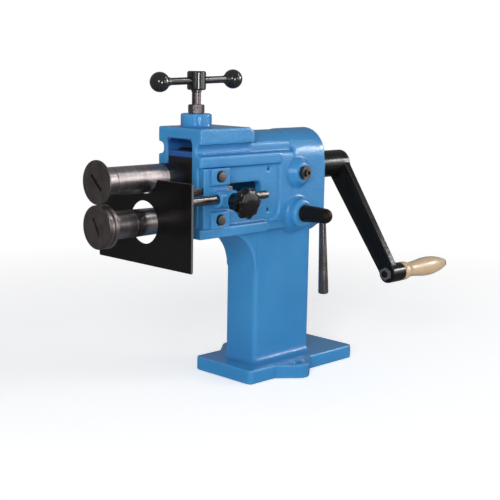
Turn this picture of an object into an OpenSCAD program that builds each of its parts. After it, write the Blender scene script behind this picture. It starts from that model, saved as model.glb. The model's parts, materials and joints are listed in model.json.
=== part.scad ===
// Hand beading machine: two geared shafts in a cast frame, with a crank, a pressure screw and a fence.
// Millimetres. X runs from the dies (minus) to the crank (plus), Z is up, the origin is under the base.

/* [Base and column] */
// Length of the base plate
base_l = 220; // [200:1:260]
// Width of the base plate
base_w = 112; // [96:1:130]
// Thickness of the base plate
base_t = 20; // [14:1:26]
// Corner radius of the base plate
base_r = 6; // [3:1:14]
// Place of the bolt ears forward of the origin
ear_x = 23; // [18:1:28]
// Distance of each bench bolt from the middle plane
ear_bolt_y = 65; // [60:1:72]
// Radius of the rounded tip of a bolt ear
ear_r = 17; // [14:1:20]
// Half length of a bolt ear where it leaves the base
ear_half = 37; // [30:1:42]
// Diameter of the bench bolt holes
ear_hole_d = 11; // [8:0.5:13]
// Distance from the origin forward to the column's front
column_front = 76; // [66:1:80]
// Length of the column along the machine
column_l = 114; // [100:0.5:120]
// Width of the column
column_w = 59; // [50:1:62]
// Corner radius of the column
column_r = 5; // [3:0.5:10]
// Radius of the fillet at the foot of the column
foot_r = 8; // [6:1:14]
// Radius of the blend between column and gear housing
blend_r = 30; // [20:1:40]

/* [Shaft axes] */
// Height of the lower shaft's axis
lower_z = 235.2; // [228:0.2:245]
// Distance between the two shaft axes
shaft_gap = 56; // [55.6:0.1:57]
// How far the pivot of the upper shaft lies below its axis
pivot_drop = 3; // [0:0.5:4]
// Place of the pivot forward of the origin
pivot_front = 4; // [3:0.5:6]

/* [Head and arm] */
// Distance from the origin forward to the head's front face
head_front = 194.5; // [188:0.5:204]
// Width over the rails of the head
head_w = 84; // [82:1:88]
// Width over the recessed side panels
panel_w = 72; // [70:1:74]
// Width of the arm above the middle rail
arm_w = 64; // [60:1:66]
// Depth of the head's underside below the lower axis
head_under = 25.2; // [24:0.2:30]
// Radius of the hollow between head and column
throat_r = 56; // [40:1:64]
// Thickness of the bottom rail
low_rail_t = 14; // [12:0.5:16]
// Length of the bottom rail
low_rail_l = 132; // [120:1:140]
// Height of the middle rail's lower face above the upper axis
rail_lift = 12.4; // [11.5:0.1:15]
// Thickness of the middle rail
rail_t = 15; // [12:0.5:17]
// Length of the middle rail
rail_l = 153.5; // [140:0.5:170]
// Height of the groove between middle rail and top slab
groove_h = 15.2; // [13:0.1:18]
// Thickness of the top slab
slab_t = 20.7; // [15:0.1:22]
// Length of the top slab
slab_l = 100; // [84:1:110]
// Height of the bevel at the rear of the top slab
slab_cut = 6; // [2:0.5:8]
// Length of that bevel
slab_slope = 9; // [4:0.5:12]
// Distance from the origin forward to the end of the side panel
panel_end = 41; // [36:1:48]
// Radius of the panel's lower rear corner
panel_r = 15; // [8:1:20]
// Half width of the window in the head
window_half = 23.5; // [22.5:0.5:24.5]
// Length of the window's guide along the machine
window_l = 60; // [54:1:64]
// Corner radius of the window
window_r = 8; // [4:0.5:9]
// Thickness of the roof over the window
roof_t = 15.5; // [12:0.5:17]
// Diameter of the boss that carries the pressure screw
boss_d = 41.4; // [34:0.2:46]
// Height of that boss above the slab
boss_h = 17.9; // [12:0.1:24]

/* [Gear housing] */
// Front of the gear housing, forward of the origin
housing_front = 12; // [10:1:18]
// Length of the gear housing
housing_l = 65; // [62:1:70]
// Half width and end radius of the gear housing
housing_r = 40; // [39:0.5:44]
// Height of the housing's upper arc centre above the upper axis
housing_lift = 16.8; // [12:0.2:20]
// Radius of the gear chamber
chamber_r = 31.5; // [31:0.1:33]
// Thickness of the gear cover
cover_t = 3; // [2:0.5:5]
// Margin of the gear cover inside the housing's outline
cover_margin = 1.5; // [0.5:0.25:2.5]
// Face of the lever boss, measured from the middle plane
lever_boss_y = 54; // [52:1:60]
// Diameter of the lever boss
lever_boss_d = 41; // [36:1:44]
// Rounding of the lever boss at its face
lever_boss_r = 5; // [2:0.5:6]
// Face of the pivot bosses, measured from the middle plane
pivot_boss_y = 50; // [46:1:54]
// Diameter of the pivot bosses at their face
pivot_boss_d = 28; // [24:1:32]

/* [Shafts and gears] */
// Distance from the origin forward to the outer face of the dies
die_face = 331; // [324:1:336]
// Length of the die seat on each shaft
die_seat_l = 52.5; // [48:0.5:58]
// Diameter of the die seat
seat_d = 22; // [18:0.5:24]
// Diameter of the visible shaft shoulder
shoulder_d = 34; // [32:0.5:35]
// Diameter of the plain journals
journal_d = 25; // [24:0.5:26]
// Diameter of the lower shaft in its front bush
lower_journal_d = 30; // [28:0.5:31]
// Diameter of the gear and crank seats
rear_seat_d = 20; // [18:0.5:21]
// Number of teeth on each gear
gear_teeth = 28; // [24:2:32]
// Width of each gear
gear_w = 20; // [14:1:22]
// Height of a tooth above the pitch circle
tooth_top = 1.6; // [1.4:0.1:1.7]
// Depth of a tooth below the pitch circle
tooth_root = 3; // [2.9:0.1:3.4]
// Side play between the teeth
backlash = 1; // [0.95:0.05:1.1]
// Side of the square keys
key_w = 6; // [5:0.5:6]
// Wall of the bushes
bush_t = 3; // [2:0.5:3.5]
// Radial play of turning and sliding fits
play = 0.05; // [0.03:0.01:0.08]

/* [Dies] */
// Diameter over the dies
die_d = 55.6; // [52:0.1:55.6]
// Width of the upper die's disc at its rim
disc_w = 2.5; // [1.5:0.5:5]
// Width of the lower die's rim
rim_w = 15; // [12:1:20]
// Width of the groove in the lower rim
bead_w = 4.5; // [2:0.5:6]
// Depth of the groove in the lower rim
bead_deep = 2.2; // [1:0.1:3]
// Length of the dies with their hubs
die_l = 22; // [20:1:30]
// Diameter of the slotted die screws
die_screw_d = 27; // [25:0.5:28]

/* [Pressure screw] */
// Distance of the screw behind the head's front face
screw_in = 29.7; // [27:0.1:33]
// Diameter of the pressure screw
screw_d = 12; // [10:0.5:14]
// Width across the flats of the lock nut
lock_af = 19; // [17:1:24]
// Height of the lock nut
lock_h = 11.6; // [8:0.2:12]
// Angle at which the lock nut stands
lock_turn = -21; // [-30:1:30]
// Height of the T hub's underside above the boss
hub_lift = 30.6; // [22:0.2:36]
// Diameter of the T hub
hub_d = 25; // [20:0.5:30]
// Height of the T hub
hub_h = 24.6; // [18:0.2:30]
// Diameter of the T bar
bar_d = 9.5; // [8:0.5:12]
// Distance between the ball centres
ball_span = 131; // [110:1:150]
// How far the T bar stands off the middle of its hub
bar_shift = 1.6; // [0:0.2:3]
// Angle by which the T bar leans in its hub
bar_lean = 1.7; // [0:0.1:3]
// Diameter of the balls
ball_d = 26; // [22:0.5:30]
// Thickness of the block cap
cap_t = 8; // [7:0.5:9]

/* [Crank] */
// Distance from the shaft to the grip
crank_l = 189.6; // [170:0.2:200]
// Angle of the arm at rest, from straight down towards the near side
crank_angle = 35.1; // [20:0.1:60]
// Rear face of the crank arm
crank_rear = 135; // [128:1:142]
// Thickness of the crank arm
crank_t = 14; // [10:0.5:18]
// Diameter of the crank hub
crank_hub_d = 40; // [36:0.5:44]
// Diameter of the boss at the grip
crank_end_d = 28; // [25:0.5:32]
// Depth of the hollow in the arm's front face
crank_hollow = 2.5; // [1:0.25:4]
// Length of the wooden grip
grip_l = 110; // [90:1:125]
// Largest diameter of the grip
grip_d = 28.5; // [25:0.5:34]
// Diameter of the grip bolt
grip_bolt_d = 10; // [8:0.5:11]

/* [Axial lever] */
// Place of the lever axis forward of the origin
lever_x = 4; // [3:0.5:5]
// Throw of the eccentric pin
pin_throw = 4.2; // [3:0.1:4.6]
// Diameter of the eccentric pin
pin_d = 8; // [6:0.5:8]
// Diameter of the lever shaft
lever_shaft_d = 18; // [17:0.5:18]
// Length of the black hub outside the boss
lever_hub_l = 48; // [40:1:56]
// Diameter of the hub at the boss
lever_hub_d = 25; // [22:0.5:28]
// Diameter of the hub at its round end
lever_tip_d = 21; // [18:0.5:22]
// Lean of the lever rod at rest
lever_lean = 3.5; // [0:0.5:6]
// Length of the lever rod below the hub's axis
lever_rod_l = 111.5; // [90:0.5:125]
// Diameter of the rod at the hub
lever_rod_top = 9.5; // [8:0.1:10]
// Diameter of the rod at its lower end
lever_rod_end = 14.6; // [11:0.1:16]
// Outer diameter of the adjusting sleeve
sleeve_d = 44; // [42:0.5:44]

/* [Fence] */
// Distance from the origin forward to the fence plate
fence_x = 254; // [248:1:262]
// Thickness of the fence plate
fence_t = 3; // [2:0.5:5]
// Width of the fence plate
fence_w = 184; // [160:1:200]
// Lower edge of the fence plate, below the lower axis
fence_low = 55.2; // [50:0.2:70]
// Upper edge of the fence plate, above the lower axis
fence_high = 57.2; // [56:0.1:60]
// Diameter of the hole round the lower shaft
fence_hole_d = 56; // [50:1:58]
// Diameter of the notch round the upper shaft
fence_notch_d = 68; // [64:1:70]
// Height of the notch's middle above the plate's edge
fence_notch_lift = 8; // [6:0.5:9]
// Diameter of the fence rod
rod_d = 12; // [10:0.5:13]
// Distance of the fence rod from the middle plane
rod_y = 50; // [49:0.5:52]
// Height of the fence rod above the lower axis
rod_lift = 27.8; // [26:0.2:29]
// Distance from the origin forward to the free end of the rod
rod_end = 79; // [70:1:100]
// Thickness of the guide bar
guide_t = 6; // [5:0.5:6]
// Height of the guide bar
guide_h = 8; // [6:0.5:8]
// Length of the fence bracket along the machine
bracket_l = 44; // [40:1:48]
// Thickness of the fence bracket's plate
bracket_t = 10; // [9:0.5:11]
// Height of the bolt pads
pad_h = 22; // [20:1:23]
// Distance of the knob's face from the middle plane
knob_y = 95; // [90:1:98]
// Distance of the knob's axis below the fence rod's axis
knob_drop = 2.5; // [1:0.1:3]
// Diameter over the lobes of the star knob
knob_d = 43; // [36:1:48]
// Number of lobes on the star knob
knob_lobes = 10; // [7:1:10]
// Diameter of the knob's stud
stud_d = 8; // [6:0.5:9]

/* [Hidden] */
$fn = 96;
eps = 0.5;
upper_z = lower_z + shaft_gap;
pivot_z = upper_z - pivot_drop;
lever_z = lower_z - pin_throw;

column_mid = column_l / 2 - column_front;
screw_x = head_front - screw_in;
head_bottom = lower_z - head_under;
low_rail_top = head_bottom + low_rail_t;
rail_z = upper_z + rail_lift;
rail_top = rail_z + rail_t;
slab_z = rail_top + groove_h;
slab_top = slab_z + slab_t;
window_top = slab_top - roof_t;
boss_top = slab_top + boss_h;
housing_end = housing_l - housing_front;
housing_z = upper_z + housing_lift;
lip = 0.4;
flank_half = housing_r - 1;
flank_step = 2;

// Inside of the arm: one tunnel for both shafts, and a wall that carries the rear bearings
tunnel_front = head_front - window_l;
tunnel_rise = 27;
tunnel_drop = 22;
tunnel_top = upper_z + tunnel_rise;
tunnel_floor = lower_z - tunnel_drop;
wall_front = 24;
wall_back = 20;
shelf_lift = 26.8;
shelf_z = lower_z + shelf_lift;
sleeve_r = sleeve_d / 2;
sleeve_front = 22;
sleeve_back = 16;
bush_l = 45;
lower_bush_r = lower_journal_d / 2 + play + bush_t;
journal_r = journal_d / 2;
shaft_bush_r = journal_r + play + bush_t;

// Side window in the panel, and the two tapped holes beside it
port_front = 141;
port_l = 66;
port_h = 34;
port_lift = 10.8;
port_low = lower_z + port_lift;
port_high = port_low + port_h;
port_r = 8;
tap_x = 60.3;
tap_r = 2.7;
tap_deep = 8;
tap_zs = [lower_z + 3.8, upper_z + 4.8];

// Slide block, cap and thrust foot
slide_play = 0.3;
block_half = window_half - slide_play;
block_l = 43;
block_in = 2;
block_front = head_front - block_in;
block_back = block_front - block_l;
block_low = shelf_z + window_r + slide_play;
block_rise = 24.7;
block_top = upper_z + block_rise;
cap_top = block_top + cap_t;
nose_l = 33;
nose_front = block_front + nose_l;
nose_r = shoulder_d / 2 + 0.4;
foot_r_out = 8;
foot_t = 3;
foot_gap = 0.3;
foot_pocket_r = foot_r_out + 2.4;
foot_pocket = 4.2;
foot_z = cap_top - foot_pocket + foot_gap;
neck_r = 4;
keeper_t = 2;
keeper_hole_r = neck_r + 2;
keeper_half = [17, 15];
cap_screw_x = 13.5;
cap_screw_y = 11.5;
cap_screw_r = 2;
cap_screw_deep = 7;
cap_head_r = 3.4;
cap_head_t = 2;
screw_low = cap_top + keeper_t + 1.2;
neck_top = screw_low + 9;

// Swivel housing at the pivot
swivel_l = 26;
pivot_x = -pivot_front;
swivel_x = [pivot_x - swivel_l / 2, pivot_x + swivel_l / 2];
swivel_half = window_half - 0.7;
swivel_rise = 22;
swivel_low = upper_z - swivel_rise;
swivel_high = upper_z + swivel_rise;
dog_r = 3;
dog_l = 4;
pivot_screw_r = 5;
pivot_nut_af = 18;
pivot_nut_t = 6;
pivot_screw_out = 4;
pivot_key_af = 5;
pivot_key_deep = 4;
pivot_gap = 0.5;

// Shafts, along X
die_head_t = 5;
dish_r = 6;
edge_cut = 0.7;
spacer_ring = 4;
spacer_lip = 0.8;
slot_w = 4;
slot_deep = 2.5;
centre_r = 2.6;
die_screw_l = 34;
die_thread_r = 6;
seat_end = die_face - die_seat_l;
upper_shoulder_end = nose_front + 0.4;
lower_shoulder_end = head_front + 20;
gear_front = 24;
gear_back = gear_front + gear_w;
gear_hub_r = 15;
gear_hub_front = swivel_x[1] + 0.4;
collar_w = 6;
collar_r = 16;
pitch_r = shaft_gap / 2;
tip_r = pitch_r + tooth_top;
root_r = pitch_r - tooth_root;
pressure = 20;
flank_steps = 4;
rear_r = rear_seat_d / 2;
key_l = gear_w - 4;
key_top = rear_r + key_w / 2;

// Crank
crank_front = crank_rear - crank_t;
hub_proud = 1;
crank_gap = 6;
crank_hub_front = housing_end + cover_t + crank_gap;
crank_hub_r = crank_hub_d / 2;
crank_end_r = crank_end_d / 2;
shaft_short = 9;
shaft_end = crank_rear - shaft_short;
crank_key_l = crank_t - shaft_short - 1;
crank_tap = 22;
crank_thread_r = 4;
crank_washer_r = 14;
crank_washer_t = 3;
crank_head_af = 13;
crank_head_t = 5.5;
grip_nut_af = 17;
grip_nut_t = 5;
grip_head_t = 5;
grip_collar = 7;
crank_boss_front = crank_front - 2;
crank_boss_rear = crank_rear + 15;
grip_front = crank_boss_rear + 1;
grip_end = grip_front + grip_l;
grip_y = -crank_l * sin(crank_angle);
grip_z = upper_z - crank_l * cos(crank_angle);

// Fence
fence_r = 2;
rod_cut = 1.5;
rod_z = lower_z + rod_lift;
fence_back = fence_x - fence_t / 2;
panel_y = panel_w / 2;
bracket_front = head_front - 2;
bracket_back = bracket_front - bracket_l;
bracket_y = panel_y + bracket_t;
pad_y = bracket_y + 4;
pad_front = bracket_front - 11;
pad_gap = 0.3;
pad_low_z = low_rail_top + pad_gap + pad_h / 2;
pad_high_z = rail_z - pad_gap - pad_h / 2;
bolt_x = (pad_front + bracket_back) / 2;
bolt_r = 4;
bolt_head_r = 6.8;
bolt_head_t = 6;
bolt_sink_r = 7.6;
bolt_proud = 3;
bolt_tip = -1;
knob_x = bracket_back + 6.5;
knob_z = rod_z - knob_drop;
rod_boss_r = rod_d / 2 + 5;
knob_boss_y = rod_y + rod_boss_r + 1;
rod_boss_front = bolt_x + 9;
rod_boss_back = knob_x - rod_boss_r - 3;
guide_y = panel_y + 2 + guide_t / 2;
guide_z = rod_z + rod_d / 2 + 1 + guide_h / 2;
guide_end = bracket_back - 10;
knob_t = 16;
knob_core = 0.55;
knob_dent = 0.36;
knob_turn = 10;
stud_grip = 6;
stud_tip = rod_y + rod_d / 2 + 0.2;

blue = "#4a90c8";
steel = "#a9a4a0";
dark = "#26262a";
black = "#18181a";
bronze = "#b08d57";
wood = "#dcba8a";

// Extrude a drawing in X and Z evenly to both sides of the middle plane
module along_y(w) { rotate([90, 0, 0]) linear_extrude(w, center = true) children(); }
// Extrude a drawing in Y and Z from one X to another
module along_x(from, to) {
    translate([from, 0, 0]) rotate([90, 0, 90]) linear_extrude(to - from) children();
}
// Round bar along X, along Y or upright, between two ends
module bar_x(from, to, r) { translate([from, 0, 0]) rotate([0, 90, 0]) cylinder(h = to - from, r = r); }
module bar_y(from, to, r) { translate([0, from, 0]) rotate([-90, 0, 0]) cylinder(h = to - from, r = r); }
module bar_z(from, to, r) { translate([0, 0, from]) cylinder(h = to - from, r = r); }
// Cone along minus Y
module cone_y(from, to, r1, r2) {
    translate([0, -from, 0]) rotate([90, 0, 0]) cylinder(h = to - from, r1 = r1, r2 = r2);
}
module ring_x(from, to, outer, inner) {
    difference() {
        bar_x(from, to, outer);
        bar_x(from - eps, to + eps, inner);
    }
}
// Turn a drawing of radius and X about the X axis
module turned_x() { rotate([0, 90, 0]) rotate_extrude() children(); }
module on_upper() { translate([0, 0, upper_z]) children(); }
module on_lower() { translate([0, 0, lower_z]) children(); }
// Rectangle with round corners, from exact arcs
module soft_rect(x0, x1, y0, y1, r) {
    translate([x0 + r, y0]) square([x1 - x0 - 2 * r, y1 - y0]);
    translate([x0, y0 + r]) square([x1 - x0, y1 - y0 - 2 * r]);
    for (x = [x0 + r, x1 - r], y = [y0 + r, y1 - r]) translate([x, y]) circle(r);
}
// Upright slot with round ends, in Y and Z
module obround(r, z0, z1) {
    translate([-r, z0]) square([2 * r, z1 - z0]);
    for (z = [z0, z1]) translate([0, z]) circle(r);
}
// Hollow corner that fills an inside edge, with its corner at the origin
module hollow_corner(r) {
    difference() {
        translate([-eps, -eps]) square(r + eps);
        translate([r + lip, r + lip]) circle(r);
    }
}
// Bar that narrows along minus Y of the drawing
module taper(half_top, half_end, l) {
    polygon([[-half_top, 0], [half_top, 0], [half_end, -l], [-half_end, -l]]);
}
module hex_prism(af, h) { cylinder(h = h, d = af / cos(30), $fn = 6); }

// Frame casting
module ear_shape() {
    dx = ear_half;
    dy = base_w / 2 - ear_bolt_y;
    lean = atan2(dy, dx);
    open = acos(ear_r / norm([dx, dy]));
    touch = lean + open;
    circle(ear_r);
    polygon([
        [-dx, dy], [-ear_r * cos(touch), ear_r * sin(touch)],
        [ear_r * cos(touch), ear_r * sin(touch)], [dx, dy]
    ]);
}
module base_shape() {
    soft_rect(-base_l / 2, base_l / 2, -base_w / 2, base_w / 2, base_r);
    for (flip = [0, 1]) mirror([0, flip]) translate([-ear_x, ear_bolt_y]) ear_shape();
}
module column_foot() {
    x = column_l / 2 - column_r;
    y = column_w / 2 - column_r;
    translate([column_mid, 0, base_t]) for (i = [0, 1], j = [0, 1]) mirror([i, 0]) mirror([0, j]) {
        translate([x, y, 0]) rotate_extrude(angle = 90) {
            translate([column_r, 0]) hollow_corner(foot_r);
            translate([0, -eps]) square([column_r, foot_r + eps]);
        }
        translate([0, y + column_r, 0]) rotate([90, 0, 90]) linear_extrude(x) hollow_corner(foot_r);
        translate([x + column_r, y, 0]) rotate([90, 0, 0]) linear_extrude(y) hollow_corner(foot_r);
    }
}
module arm_shape() {
    translate([-panel_y, head_bottom]) square([panel_w, rail_top - head_bottom]);
    translate([-arm_w / 2, rail_z]) square([arm_w, housing_z - rail_z]);
    intersection() {
        translate([0, housing_z]) circle(housing_r - 1);
        translate([-arm_w / 2, rail_top]) square([arm_w, housing_r + housing_z - rail_top]);
    }
}
module slab_shape() {
    polygon([
        [-head_front, rail_z], [-head_front, slab_top], [slab_l - head_front - slab_slope, slab_top],
        [slab_l - head_front, slab_top - slab_cut], [slab_l - head_front, rail_z]
    ]);
}
// Near half of the hollow blend from the column's side up to the round of the housing
module blend_shape() {
    side = column_w / 2;
    mid = [side + blend_r, lower_z - sqrt(pow(housing_r + blend_r, 2) - pow(side + blend_r, 2))];
    touch = [mid[0], lower_z] * housing_r / (housing_r + blend_r);
    top = lower_z + (mid[1] - lower_z) * housing_r / (housing_r + blend_r);
    difference() {
        polygon([[0, mid[1]], [mid[0], mid[1]], [touch[0], top], [0, lower_z]]);
        translate(mid) circle(blend_r - 0.01);
    }
}
// Boss along minus Y with a round outer edge
module soft_boss(from, to, r, edge) {
    translate([0, -from, 0]) rotate([90, 0, 0]) rotate_extrude() {
        square([r, to - from - edge]);
        square([r - edge, to - from]);
        translate([r - edge, to - from - edge]) circle(edge);
    }
}
module frame_blank() {
    linear_extrude(base_t) base_shape();
    column_foot();
    translate([0, 0, base_t - eps]) linear_extrude(low_rail_top - base_t)
        soft_rect(-column_front, column_l - column_front, -column_w / 2, column_w / 2, column_r);
    along_y(column_w) translate([-column_front, head_bottom]) rotate(180) hollow_corner(throat_r);
    along_x(-head_front, eps - housing_front) arm_shape();
    along_y(head_w) slab_shape();
    along_y(head_w) translate([-head_front, rail_z]) square([rail_l, rail_t]);
    along_y(head_w) {
        translate([-head_front, head_bottom]) square([low_rail_l - low_rail_t / 2, low_rail_t]);
        translate([low_rail_l - head_front - low_rail_t / 2, head_bottom + low_rail_t / 2])
            circle(low_rail_t / 2);
    }
    along_x(-panel_end, eps - housing_front) intersection() {
        obround(flank_half, lower_z, housing_z);
        translate([-head_w, 0]) square([2 * head_w, rail_top - flank_step]);
    }
    along_y(2 * flank_half - flank_step) translate([-panel_end, low_rail_top]) mirror([1, 0])
        hollow_corner(panel_r);
    along_x(-housing_front, housing_end) obround(housing_r, lower_z, housing_z);
    for (side = [0, 1]) mirror([0, side, 0]) {
        along_x(-column_front + column_r, column_l - column_front - column_r) mirror([1, 0]) blend_shape();
        translate([pivot_x, 0, pivot_z])
            cone_y(housing_r - 8, pivot_boss_y, pivot_boss_d * 0.95, pivot_boss_d / 2);
    }
    translate([-lever_x, 0, lever_z]) {
        soft_boss(housing_r / 2, lever_boss_y, lever_boss_d / 2, lever_boss_r);
        cone_y(housing_r * 0.6, lever_boss_y - 10, lever_boss_d * 0.85, lever_boss_d / 2);
    }
    translate([-screw_x, 0, 0]) bar_z(slab_top - eps, boss_top, boss_d / 2);
}
module frame_cuts() {
    for (side = [0, 1]) mirror([0, side, 0]) along_x(-head_front - eps, rail_l - head_front + eps)
        soft_rect(arm_w / 2, head_w, rail_top, slab_z, groove_h * 0.4);
    along_x(-head_front - eps, eps - tunnel_front)
        soft_rect(-window_half, window_half, shelf_z, window_top, window_r);
    along_x(-tunnel_front, wall_back + eps) translate([-window_half, shelf_z])
        square([2 * window_half, tunnel_top - shelf_z]);
    along_x(-tunnel_front, -wall_front) translate([-window_half, tunnel_floor])
        square([2 * window_half, shelf_z - tunnel_floor + eps]);
    on_lower() {
        bar_x(-head_front - eps, eps - tunnel_front, lower_bush_r);
        bar_x(-wall_front - eps, wall_back + eps, sleeve_r + play);
    }
    along_x(wall_back, housing_end + eps) obround(chamber_r, lower_z, upper_z);
    at_cover_screws() bar_x(housing_end - cover_tap, housing_end + eps, cover_screw_r);
    translate([pivot_x, 0, pivot_z]) bar_y(-pivot_boss_y - eps, pivot_boss_y + eps, pivot_screw_r);
    translate([-lever_x, 0, lever_z]) bar_y(-lever_boss_y - eps, -sleeve_r * 0.6, lever_bush_r);
    translate([-screw_x, 0, 0]) bar_z(window_top - eps, boss_top + eps, screw_d / 2 + play);
    along_y_near(panel_y) soft_rect(-port_front, port_l - port_front, port_low, port_high, port_r);
    for (z = tap_zs) translate([-tap_x, 0, z]) bar_y(-panel_y - eps, tap_deep - panel_y, tap_r);
    at_bolts() bar_y(-panel_y - eps, 1 - window_half, bolt_r);
    for (side = [-1, 1]) translate([-ear_x, side * ear_bolt_y, 0])
        bar_z(-eps, base_t + eps, ear_hole_d / 2);
}
// Cut through the near wall of the arm only
module along_y_near(y) {
    translate([0, eps - window_half, 0]) rotate([90, 0, 0])
        linear_extrude(y - window_half + 2 * eps) children();
}
module frame_casting() {
    color(blue) difference() {
        frame_blank();
        frame_cuts();
    }
}

// Gear cover on the rear of the housing
cover_screw_r = 2;
cover_tap = 12;
cover_screw_l = 10;
cover_head_r = 3.5;
cover_head_t = 2.6;
cover_slot = 1.2;
cover_screw_ring = (chamber_r + housing_r - cover_margin) / 2;
module at_cover_screws() {
    for (side = [-1, 1]) {
        translate([0, side * cover_screw_ring * sin(45), upper_z + cover_screw_ring * cos(45)]) children();
        translate([0, side * cover_screw_ring * sin(45), lower_z - cover_screw_ring * cos(45)]) children();
    }
}
module gear_cover() {
    hole_r = rear_r + 3.2;
    color(blue) difference() {
        along_x(housing_end, housing_end + cover_t) obround(housing_r - cover_margin, lower_z, upper_z);
        on_upper() bar_x(housing_end - eps, housing_end + cover_t + eps, hole_r);
        at_cover_screws() bar_x(housing_end - eps, housing_end + cover_t + eps, cover_screw_r);
    }
}
module cover_screws() {
    face = housing_end + cover_t;
    top = face + cover_head_t;
    color(dark) at_cover_screws() difference() {
        union() {
            bar_x(housing_end - cover_screw_l, face + eps, cover_screw_r);
            bar_x(face, top, cover_head_r);
        }
        translate([top - cover_slot, -cover_head_r - eps, -cover_slot / 2])
            cube([cover_slot + eps, 2 * (cover_head_r + eps), cover_slot]);
    }
}
module lower_front_bush() {
    color(bronze) on_lower()
        ring_x(-head_front, bush_l - head_front, lower_bush_r, lower_journal_d / 2 + play);
}
lever_shaft_r = lever_shaft_d / 2;
lever_bush_r = lever_shaft_r + play + 2;
module lever_bush() {
    color(bronze) translate([-lever_x, 0, lever_z]) difference() {
        bar_y(-lever_boss_y, -sleeve_r - 2.5, lever_bush_r);
        bar_y(-lever_boss_y - eps, -sleeve_r, lever_shaft_r + play);
    }
}

// Fence bracket, bolted between the rails on the near side
module at_bolts() { for (z = [pad_low_z, pad_high_z]) translate([-bolt_x, 0, z]) children(); }
module fence_bracket() {
    color(blue) difference() {
        union() {
            translate([-bracket_front, -bracket_y, low_rail_top + pad_gap])
                cube([bracket_l, bracket_t, rail_z - low_rail_top - 2 * pad_gap]);
            for (z = [pad_low_z, pad_high_z]) translate([-pad_front, -pad_y, z - pad_h / 2])
                cube([pad_front - bracket_back, pad_y - panel_y, pad_h]);
            translate([0, -rod_y, rod_z]) bar_x(-rod_boss_front, -rod_boss_back, rod_boss_r);
            translate([-rod_boss_front, -rod_y, rod_z - rod_boss_r])
                cube([rod_boss_front - bracket_back, rod_y - panel_y, 2 * rod_boss_r]);
            translate([-knob_x, 0, knob_z]) bar_y(-knob_boss_y, -rod_y, rod_boss_r - 1);
        }
        translate([0, -rod_y, rod_z]) bar_x(-bracket_front - eps, eps - rod_boss_back, rod_d / 2 + play);
        along_x(-bracket_front - eps, eps - rod_boss_back) translate([-guide_y, guide_z])
            square([guide_t + 2 * slide_play, guide_h + 2 * slide_play], center = true);
        translate([-knob_x, 0, knob_z]) bar_y(-knob_boss_y - eps, -rod_y, stud_d / 2 + play);
        at_bolts() {
            bar_y(-pad_y - eps, eps - panel_y, bolt_r);
            bar_y(-pad_y - eps, bolt_head_t - bolt_proud - pad_y, bolt_sink_r);
        }
    }
}
module bracket_bolts() {
    color(dark) at_bolts() {
        bar_y(-bolt_proud - pad_y, bolt_head_t - bolt_proud - pad_y, bolt_head_r);
        bar_y(-bolt_proud - pad_y, bolt_tip - window_half, bolt_r);
    }
}
module pivot_screws() {
    out = pivot_boss_y + pivot_nut_t + pivot_screw_out;
    color(dark) for (side = [0, 1]) mirror([0, side, 0]) translate([pivot_x, 0, pivot_z]) difference() {
        union() {
            bar_y(-out, -swivel_half - pivot_gap, pivot_screw_r);
            bar_y(1 - out, dog_l - swivel_half - slide_play, dog_r);
        }
        translate([0, pivot_key_deep - out, 0]) rotate([90, 0, 0])
            hex_prism(pivot_key_af, pivot_key_deep + eps);
    }
}
module pivot_lock_nuts() {
    color(dark) for (side = [0, 1]) mirror([0, side, 0]) translate([pivot_x, -pivot_boss_y, pivot_z])
        rotate([90, 0, 0]) difference() {
            hex_prism(pivot_nut_af, pivot_nut_t);
            bar_z(-eps, pivot_nut_t + eps, pivot_screw_r);
        }
}

// Pressure screw and its T handle
module lock_nut() {
    color(dark) translate([-screw_x, 0, boss_top]) difference() {
        intersection() {
            rotate([0, 0, lock_turn]) hex_prism(lock_af, lock_h);
            translate([0, 0, lock_h / 2]) sphere(r = norm([lock_af / 2 + 0.6, lock_h / 2]));
        }
        bar_z(-eps, lock_h + eps, screw_d / 2 + play);
    }
}
module thrust_foot() {
    color(steel) translate([-screw_x, 0, 0]) {
        bar_z(foot_z, foot_z + foot_t, foot_r_out);
        bar_z(foot_z, neck_top, neck_r);
    }
}
hub_z = boss_top + hub_lift;
bar_z_mid = hub_z + hub_h / 2;
ball_grip = 3;
ball_neck = 2.5;
module pressure_screw() {
    color(steel) translate([-screw_x, 0, 0]) difference() {
        bar_z(screw_low, hub_z + hub_h / 2 - bar_d, screw_d / 2);
        bar_z(screw_low - eps, neck_top + 0.3, neck_r + play);
    }
}
module on_bar() {
    translate([-screw_x, 0, bar_z_mid]) rotate([0, -bar_lean, 0])
        translate([bar_shift, 0, 0]) children();
}
module t_hub() {
    color(black) translate([-screw_x, 0, 0]) difference() {
        bar_z(hub_z, hub_z + hub_h, hub_d / 2);
        bar_z(hub_z - eps, hub_z + hub_h / 2 - bar_d, screw_d / 2);
        translate([0, 0, bar_z_mid]) rotate([0, -bar_lean, 0]) bar_x(-hub_d, hub_d, bar_d / 2);
    }
}
module t_bar() {
    reach = ball_span / 2 - ball_grip;
    color(black) on_bar() bar_x(-reach, reach, bar_d / 2);
}
module ball_knobs() {
    far = ball_span / 2;
    color(black) on_bar() for (side = [0, 1]) mirror([side, 0, 0])
        difference() {
            union() {
                translate([far, 0, 0]) sphere(d = ball_d);
                bar_x(far - ball_d / 2 - ball_neck, far, bar_d / 2 + 2);
            }
            bar_x(0, far - ball_grip, bar_d / 2);
        }
}

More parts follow.
